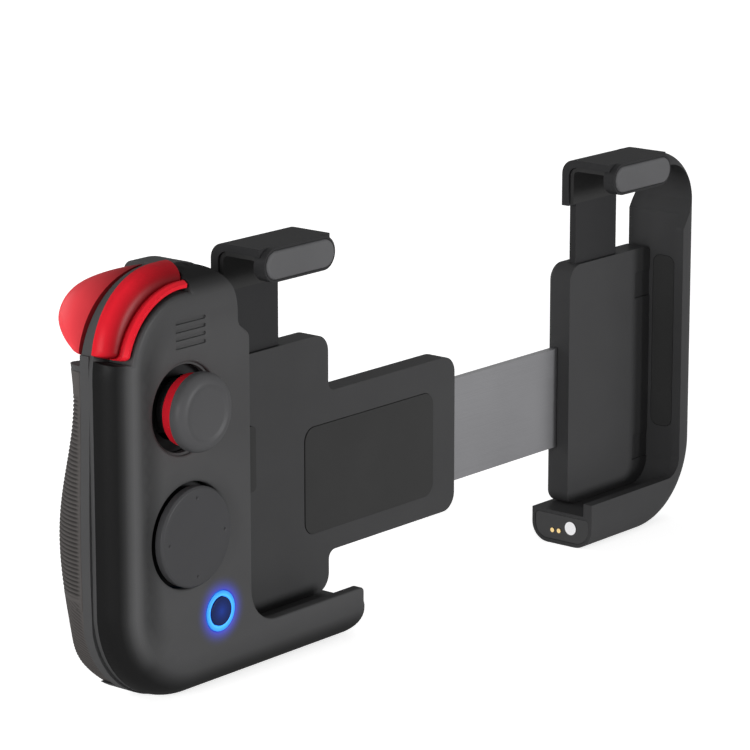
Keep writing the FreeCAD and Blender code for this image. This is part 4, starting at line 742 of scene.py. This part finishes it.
# Pins, return spring and switches of the shoulder controls: ground steel pins pressed into bosses of the
# shells, a coiled torsion spring round the trigger's pin, and two small black switches behind the ledges.
def metal(name, colour, rough, streak=(1.0, 1.0, 1.0), scale=2500.0):
    """Steel: noise stretched along streak tints the colour, changes the gloss and lays fine brush marks."""
    material = moulded_plastic(name, colour, rough, specular=0.5, grain=0.0003, depth=0.2, clouds=0.06,
                               coat=0.0)
    tree = material.node_tree
    tree.nodes["Principled BSDF"].inputs["Metallic"].default_value = 1.0
    stretch = add_node(tree, "VectorMath", {1: streak}, "MULTIPLY")
    marks = tree.nodes["Noise Texture.001"]
    marks.inputs["Scale"].default_value = scale
    join(tree, (tree.nodes["Texture Coordinate"], "Object", stretch, 0), (stretch, "Vector", marks, "Vector"))
    return material


wire_radius = 0.2


def coil(start, end, radius, turns):
    """A round wire carried along a helix between two points, as a tube of rings."""
    start, end = np.array(start, float), np.array(end, float)
    line = (end - start) / np.linalg.norm(end - start)
    first = np.cross(line, [0.3, 0.5, 0.81])
    first /= np.linalg.norm(first)
    second = np.cross(line, first)
    share = np.linspace(0, 1, int(turns * 24))[:, None]
    angle = share * turns * 2 * np.pi
    spoke = first * np.cos(angle) + second * np.sin(angle)
    middle = start + share * (end - start) + radius * spoke
    forward = (end - start) + radius * turns * 2 * np.pi * (second * np.cos(angle) - first * np.sin(angle))
    forward /= np.linalg.norm(forward, axis=1)[:, None]
    side = np.cross(forward, spoke)
    round_wire = np.linspace(0, 2 * np.pi, 11)[:-1][None, :, None]
    ring = spoke[:, None] * np.cos(round_wire) + side[:, None] * np.sin(round_wire)
    ring = middle[:, None] + wire_radius * ring
    return tube(place(ring[..., 0], ring[..., 1], ring[..., 2]))


inner_black = moulded_plastic("inner_black", (0.022, 0.022, 0.023), 0.5)
ground_steel = metal("ground_steel", (0.56, 0.56, 0.57), 0.28, streak=(1.0, 0.05, 1.0))
paint(ground_steel, "l1_pin", "l2_pin")
paint(inner_black, "shoulder_switches")
spring_steel = metal("spring_steel", (0.5, 0.5, 0.52), 0.3)
torsion_coil = coil((3.0, 14.5, 85.2), (3.0, 15.7, 85.2), radius=1.55, turns=3.0)
piece("trigger_spring", [torsion_coil], spring_steel, "grip", "l2_spring", 80)


# Thumbstick: a soft moulded cap with a plain recessed top on a turned drum in metallic red. Both are pressed
# on the stem, which tilts in a black socket.
def turned(profile, centre, sides=128, well=None):
    """A profile of (radius, depth) points turned about a line along the depth; radius 0 closes a pole.

    A well is a function of x, z and depth that says how much deeper each point lies.
    """
    angle = np.linspace(0, 2 * np.pi, sides + 1)[:-1][None]
    radius, depth = profile[:, :1], profile[:, 1:]
    x, z = radius * np.cos(angle), radius * np.sin(angle)
    if well:
        depth = depth + well(x, z, depth)
    return grid(place(centre[0] + x, depth, centre[1] + z))


stick = (stick_x, stick_z)
cap_soft = moulded_plastic("cap_soft", (0.060, 0.060, 0.062), 0.5, grain=0.00018, depth=0.35, coat=0.15)
cap_profile = rounded([
    (0, -6.0), (5.3, -6.0, 2.0), (6.0, -6.3, 0.9), (8.3, -6.3, 2.2), (8.3, -2.9, 0.5), (7.2, -2.9, 0.1),
    (7.2, -3.6), (0, -3.6)], closed=False, spacing=0.16)
piece("thumb_cap", [turned(cap_profile, stick)], cap_soft, "stick", "stick_cap", 60)

drum_red = lacquer("drum_red", (0.78, 0.018, 0.034), 0.24, metallic=0.5, flake=0.2)
drum_profile = rounded([
    (0, -2.85), (7.35, -2.85, 0.1), (7.6, -2.6, 0.15), (7.6, -0.55, 0.3), (7.25, -0.2, 0.2), (0, -0.2)],
    closed=False, spacing=0.12)
piece("thumb_drum", [turned(drum_profile, stick)], drum_red, "stick", "stick_drum", 60)
stem_black = moulded_plastic("stem_black", (0.02, 0.02, 0.021), 0.35)
paint(stem_black, "stick_stem", "stick_rocker", "stick_yoke", "stick_housing")


# Direction disc: one flat disc moulded in black plastic, with a bevelled rim, a shallow cone and a sunk pip
# near the edge for each way. It snaps onto a carrier ring over a rubber membrane.
def pips(x, z, depth):
    """A smooth well at each of four points: its depth times (1 - (r / well)^2) squared, on the front only."""
    ring_radius, pip_radius, pip_depth = 8.35, 0.42, 0.4
    wells = 0
    for side in np.radians((0, 90, 180, 270)):
        away = np.hypot(x - ring_radius * np.cos(side), z - ring_radius * np.sin(side)) / pip_radius
        wells = wells + np.where(depth < -0.9, pip_depth * np.clip(1 - away**2, 0, 1) ** 2, 0)
    return wells


disc_black = moulded_plastic("disc_black", (0.044, 0.044, 0.046), 0.4, grain=0.0002, depth=0.2, coat=0.15)
disc_profile = rounded([
    (0, -1.28), (9.2, -1.5, 3), (10.2, -1.44, 0.4), (10.65, -1.0, 0.35), (10.65, 0.45, 0.2), (10.4, 0.7, 0.1),
    (3.2, 0.7), (0, 0.7)], closed=False, spacing=0.07)
hub_profile = rounded([(0, 0.6), (3.0, 0.6), (3.0, 4.8), (3.8, 4.8), (3.8, 5.4), (0, 5.4)], closed=False)
piece("thumb_disc", [turned(disc_profile, (0, disc_z), 360, pips), turned(hub_profile, (0, disc_z))],
      disc_black, "disc", "direction_disc", 40)
paint(inner_black, "disc_carrier")
liner_black = moulded_plastic("liner_black", (0.036, 0.036, 0.036), 0.7, grain=0.0002, depth=0.5, coat=0.05)
paint(liner_black, "disc_membrane", "lip_pad")


# Mode button: a plain dark blue key in a clear ring, both moulded. The ring carries the light of a lamp on
# the board. Where that light falls on the face around it and on the key inside it, it is painted on them as a
# glow.
def spill(material, inner, outer, colour, power):
    """Adds light round the button to a material: power times (1 - (r - inner) / (outer - inner)) cubed."""
    tree = material.node_tree
    shader = tree.nodes["Principled BSDF"]
    away = add_node(tree, "VectorMath", {1: button_middle}, "DISTANCE")
    share = add_node(tree, "MapRange", {"From Min": inner, "From Max": outer, "To Min": 1.0, "To Max": 0.0})
    cube = add_node(tree, "Math", {1: 3.0}, "POWER")
    strength = add_node(tree, "Math", {1: power}, "MULTIPLY")
    join(tree, (tree.nodes["Texture Coordinate"], "Object", away, 0), (away, "Value", share, "Value"),
         (share, "Result", cube, 0), (cube, "Value", strength, 0),
         (strength, "Value", shader, "Emission Strength"))
    shader.inputs["Emission Color"].default_value = colour


button_axis = (button_x, button_z)
button_middle = tuple(place(button_x, 0.0, button_z).tolist())
# Painted light: the ring's light on the face, as a glow in the shell's own material.
spill(shell_black, 0.0040, 0.0082, (0.04, 0.06, 1.0, 1.0), 0.8)
button_blue = moulded_plastic("button_blue", (0.010, 0.016, 0.05), 0.4)
# Painted light: the ring's light on the key, as a faint glow in its material.
spill(button_blue, 0.0, 0.0060, (0.03, 0.12, 1.0, 1.0), 0.25)
button_profile = rounded([
    (0, -0.22), (3.1, -0.3, 0.25), (3.1, 2.6), (3.9, 2.6), (3.9, 3.4), (0, 3.4)], closed=False, spacing=0.12)
mode_key = turned(button_profile, button_axis)
piece("mode_key", [mode_key], button_blue, "button", "mode_button", 40)

ring_glow = moulded_plastic("ring_glow", (0.03, 0.24, 0.65), 0.3, coat=0.3)
spill(ring_glow, 0.0032, 0.0058, (0.05, 0.30, 1.0, 1.0), 1.6)
ring_profile = rounded([(3.25, -0.05, 0.15), (4.35, -0.05, 0.15), (4.35, 2.25), (3.25, 2.25)], spacing=0.1)
ring_profile = np.concatenate([ring_profile, ring_profile[:1]])
glow_ring = turned(ring_profile, button_axis)
piece("glow_ring", [glow_ring], ring_glow, "grip", "light_ring", 40)
paint(inner_black, "button_switch")


# Board, battery and charging port: a green lacquered board screwed to the front shell, a film-wrapped cell
# behind it, and a drawn steel port at the bottom edge.
board_green = moulded_plastic("board_green", (0.012, 0.075, 0.032), 0.3, specular=0.3, grain=0.0009,
                              clouds=0.35)
cell_film = moulded_plastic("cell_film", (0.32, 0.33, 0.35), 0.35, grain=0.002, depth=0.4)
port_steel = metal("port_steel", (0.5, 0.5, 0.52), 0.3, streak=(1.0, 1.0, 0.08))
paint(board_green, "main_board")
paint(cell_film, "battery")
paint(port_steel, "usb_port")


# Screws: small blackened steel screws with a cross recess, driven in from the back. Four hold the two shells
# of the grip together, six the bracket's tray, and four the arm's back panel and the steel plate.
def cross_screw(centre, tip, head):
    """A turned screw with a cross in its head: falloffs of a bar's half width and half length, multiplied."""
    shank_radius, head_radius, head_top = 0.8, 1.6, head + 0.8
    bar_width, bar_length, bar_depth = 0.26, 1.0, 0.45
    profile = rounded([
        (0, tip), (0.55, tip), (shank_radius, tip + 0.5), (shank_radius, head), (head_radius, head, 0.1),
        (head_radius, head_top, 0.25), (0, head_top)], closed=False, spacing=0.06)

    def recess(x, z, depth):
        """How much each point of the head's top is sunk, as a negative depth."""
        near, far = np.minimum(abs(x), abs(z)), np.maximum(abs(x), abs(z))
        bars = np.clip((bar_width - near) / 0.1, 0, 1) * np.clip((bar_length - far) / 0.15, 0, 1)
        return -np.where(depth > head + 0.3, bar_depth * bars, 0)

    return turned(profile, centre, 96, recess)


screw_black = metal("screw_black", (0.09, 0.09, 0.092), 0.35)
bracket_places = [(x, z) for x in (19.5, 50.0) for z in (57.0, 13.0)] + [(95.5, 49.6), (95.5, 19.4)]
for group, body, tip, head, places in (
        ("shell_screw", "grip", 4.0, 12.4, [(10.4, 8.5), (10.6, 53.0), (-12.0, 53.0), (10.6, 79.0)]),
        ("bracket_screw", "grip", 12.6, 16.5, bracket_places),
        ("arm_screw", "arm", 12.6, 16.5, [(172.3, 17.0), (172.3, 57.0), (167.0, 27.0), (167.0, 41.0)])):
    screws = [cross_screw(centre, tip, head) for centre in places]
    piece(group + "_set", screws, screw_black, body, group + "s", 40)


# Bracket: a cover and a tray moulded in black plastic and screwed together round the steel plate, with a
# rubber pad glued to the front for what the bracket carries.
shell_side = moulded_plastic("shell_side", (0.045, 0.045, 0.046), 0.45)
paint(shell_side, "bracket_cover", "bracket_tray")
paint(liner_black, "bracket_pad")


# Steel plate that slides in the bracket and carries the arm, brushed along its length and dark plated, and
# the coil that lies in its slot and is held by the plate's tab and the tray.
def draw_spring(node, axis):
    """A coil of wire in a rod's place, along one axis of the rod's box."""
    low, high = (measured(corner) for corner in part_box(node))
    start, end = (low + high) / 2, (low + high) / 2
    start[axis], end[axis] = low[axis] + wire_radius, high[axis] - wire_radius
    pitch = 1.6
    wound = coil(start, end, radius=0.58, turns=round((high[axis] - low[axis]) / pitch))
    made = piece(node + "_coil", [wound], spring_steel, None, node, 80)
    ends = [tuple(place(*point).tolist()) for point in (start, end)]
    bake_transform(made)


plate_steel = metal("plate_steel", (0.14, 0.14, 0.145), 0.5, streak=(0.01, 1.0, 1.0), scale=5000.0)
paint(plate_steel, "slide_plate")
draw_spring("arm_spring", 0)


# Arm for the right hand: a shell and a back panel moulded in black plastic and screwed together, with a soft
# rubber pad glued to the side that faces the grip.
paint(shell_side, "arm_shell", "arm_back")
paint(liner_black, "arm_pad")


# Dock in the arm's end face: a plate in glossy black plastic, with a silver holding magnet and two
# gold-plated contacts set in it.
dock_gloss = moulded_plastic("dock_gloss", (0.008, 0.008, 0.009), 0.12, specular=0.2, grain=0.002, depth=0.03,
                             coat=0.5)
magnet_silver = metal("magnet_silver", (0.72, 0.72, 0.73), 0.2)
contact_gold = metal("contact_gold", (0.85, 0.62, 0.28), 0.25)
paint(dock_gloss, "dock_plate")
paint(magnet_silver, "dock_magnet")
paint(contact_gold, "dock_contacts")


# Clips: two sprung hooks in black plastic. Each has a soft grey pill-shaped pad glued to its front and a
# rubber liner inside, so that an edge under the hook is held between soft faces.
def soft_slab(loop, front, back, radius):
    """A plate with a rounded front edge: rings at insets r(1 - cos a) and depths r(1 - sin a), then a cap."""
    rows = [place(loop[:, 0], back, loop[:, 1])]
    for turn in np.linspace(0, np.pi / 2, 7):
        line = offset(loop, radius * (1 - math.cos(turn)), closed=True)
        rows.append(place(line[:, 0], front + radius * (1 - math.sin(turn)), line[:, 1]))
    return [grid(np.stack(rows)), sheet(front, line, lattice=3.0), sheet(back, loop)]


pad_grey = moulded_plastic("pad_grey", (0.095, 0.095, 0.098), 0.6, grain=0.0002, depth=0.5, coat=0.05)
for side in ("left", "right"):
    clip = side + "_clip"
    low, high = (measured(corner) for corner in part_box(clip + "_face"))
    end_round = (high[2] - low[2]) / 2 - 0.03
    outline = rounded_box(low[0], high[0], low[2], high[2], end_round, spacing=0.35)
    pad = soft_slab(outline, low[1], high[1], radius=0.6)
    piece(clip + "_pad", pad, pad_grey, clip, clip + "_face", 50)
clip_black = moulded_plastic("clip_black", (0.027, 0.027, 0.028), 0.4)
paint(clip_black, "left_clip", "right_clip")
paint(liner_black, "left_clip_liner", "right_clip_liner")
draw_spring("left_clip_spring", 2)
draw_spring("right_clip_spring", 2)


# Camera: a long lens in front of the grip's left end, a little above it, where the photograph was taken from.
# Its turn comes from the three directions that the part's straight edges follow.
camera = bpy.data.objects.new("camera", bpy.data.cameras.new("camera"))
camera.data.lens = 177.6
camera.data.sensor_width = 36.0
camera.data.clip_start = 0.05
bpy.context.scene.collection.objects.link(camera)
bpy.context.scene.camera = camera
right = Vector((0.6388, -0.7694, -0.0005)).normalized()
forward = Vector((0.7468, 0.6202, -0.2400))
forward = (forward - forward.dot(right) * right).normalized()
camera_turn = Matrix((right, right.cross(forward), -forward)).transposed()
camera.matrix_world = Matrix.Translation((-0.61495, -0.50235, 0.2489)) @ camera_turn.to_4x4()


# Studio: a plain white floor and surroundings that show as white to the camera and in reflections, while the
# floor keeps the part's shadow. A broad sun and three soft lamps light the part at a plain level.
floor_mesh = bpy.data.meshes.new("studio_floor")
floor_mesh.from_pydata([(-3, -3, 0), (3, -3, 0), (3, 3, 0), (-3, 3, 0)], [], [(0, 1, 2, 3)])
floor = bpy.data.objects.new("studio_floor", floor_mesh)
bpy.context.scene.collection.objects.link(floor)
floor_white = bpy.data.materials.new("floor_white")
floor_white.use_nodes = True
floor_tree = floor_white.node_tree
floor_shader = floor_tree.nodes["Principled BSDF"]
floor_shader.inputs["Base Color"].default_value = (0.8, 0.8, 0.8, 1)
floor_shader.inputs["Specular IOR Level"].default_value = 0.0
floor_shader.inputs["Emission Color"].default_value = (1, 1, 1, 1)
floor_ray = add_node(floor_tree, "LightPath")
floor_glow = add_node(floor_tree, "Math", {1: 0.72}, "MULTIPLY")
floor_seen = add_node(floor_tree, "Math", operation="MAXIMUM")
join(floor_tree, (floor_ray, "Is Camera Ray", floor_seen, 0), (floor_ray, "Is Glossy Ray", floor_seen, 1),
     (floor_seen, "Value", floor_glow, 0), (floor_glow, "Value", floor_shader, "Emission Strength"))
floor_mesh.materials.append(floor_white)

world = bpy.data.worlds.new("studio")
bpy.context.scene.world = world
world.use_nodes = True
world_tree = world.node_tree
sky = world_tree.nodes["Background"]
sky.inputs["Color"].default_value = (1, 1, 1, 1)
sky_ray = add_node(world_tree, "LightPath")
sky_strength = add_node(world_tree, "MapRange", {"To Min": 0.22, "To Max": 1.0})
sky_seen = add_node(world_tree, "Math", operation="ADD")
sky_through = add_node(world_tree, "Math", operation="ADD")
join(world_tree, (sky_ray, "Is Camera Ray", sky_seen, 0), (sky_ray, "Is Glossy Ray", sky_seen, 1),
     (sky_seen, "Value", sky_through, 0), (sky_ray, "Is Transmission Ray", sky_through, 1),
     (sky_through, "Value", sky_strength, "Value"), (sky_strength, "Result", sky, "Strength"))


def soft_box(name, stand, aim, wide, tall, power):
    """A rectangular lamp that stands at one point and faces another."""
    lamp = bpy.data.lights.new(name, "AREA")
    lamp.shape = "RECTANGLE"
    lamp.size = wide
    lamp.size_y = tall
    lamp.energy = power
    box = bpy.data.objects.new(name, lamp)
    box.location = stand
    box.rotation_euler = (Vector(aim) - Vector(stand)).to_track_quat("-Z", "Y").to_euler()
    bpy.context.scene.collection.objects.link(box)


sun = bpy.data.lights.new("key_sun", "SUN")
sun.energy = 2.1
sun.angle = math.radians(15)
key = bpy.data.objects.new("key_sun", sun)
key.rotation_euler = Vector((0.35, -0.93, 0.12)).to_track_quat("Z", "Y").to_euler()
bpy.context.scene.collection.objects.link(key)
soft_box("left_box", (-1.05, -0.15, 0.20), (-0.08, 0, 0.05), 0.5, 0.5, 9.0)
soft_box("edge_strip", (0.18, -1.05, 0.08), (-0.08, 0, 0.05), 0.06, 0.3, 2.4)
soft_box("back_box", (-0.2, 1.3, 0.45), (0, 0, 0.05), 0.9, 0.6, 9.0)
bpy.context.scene.view_settings.view_transform = "Standard"
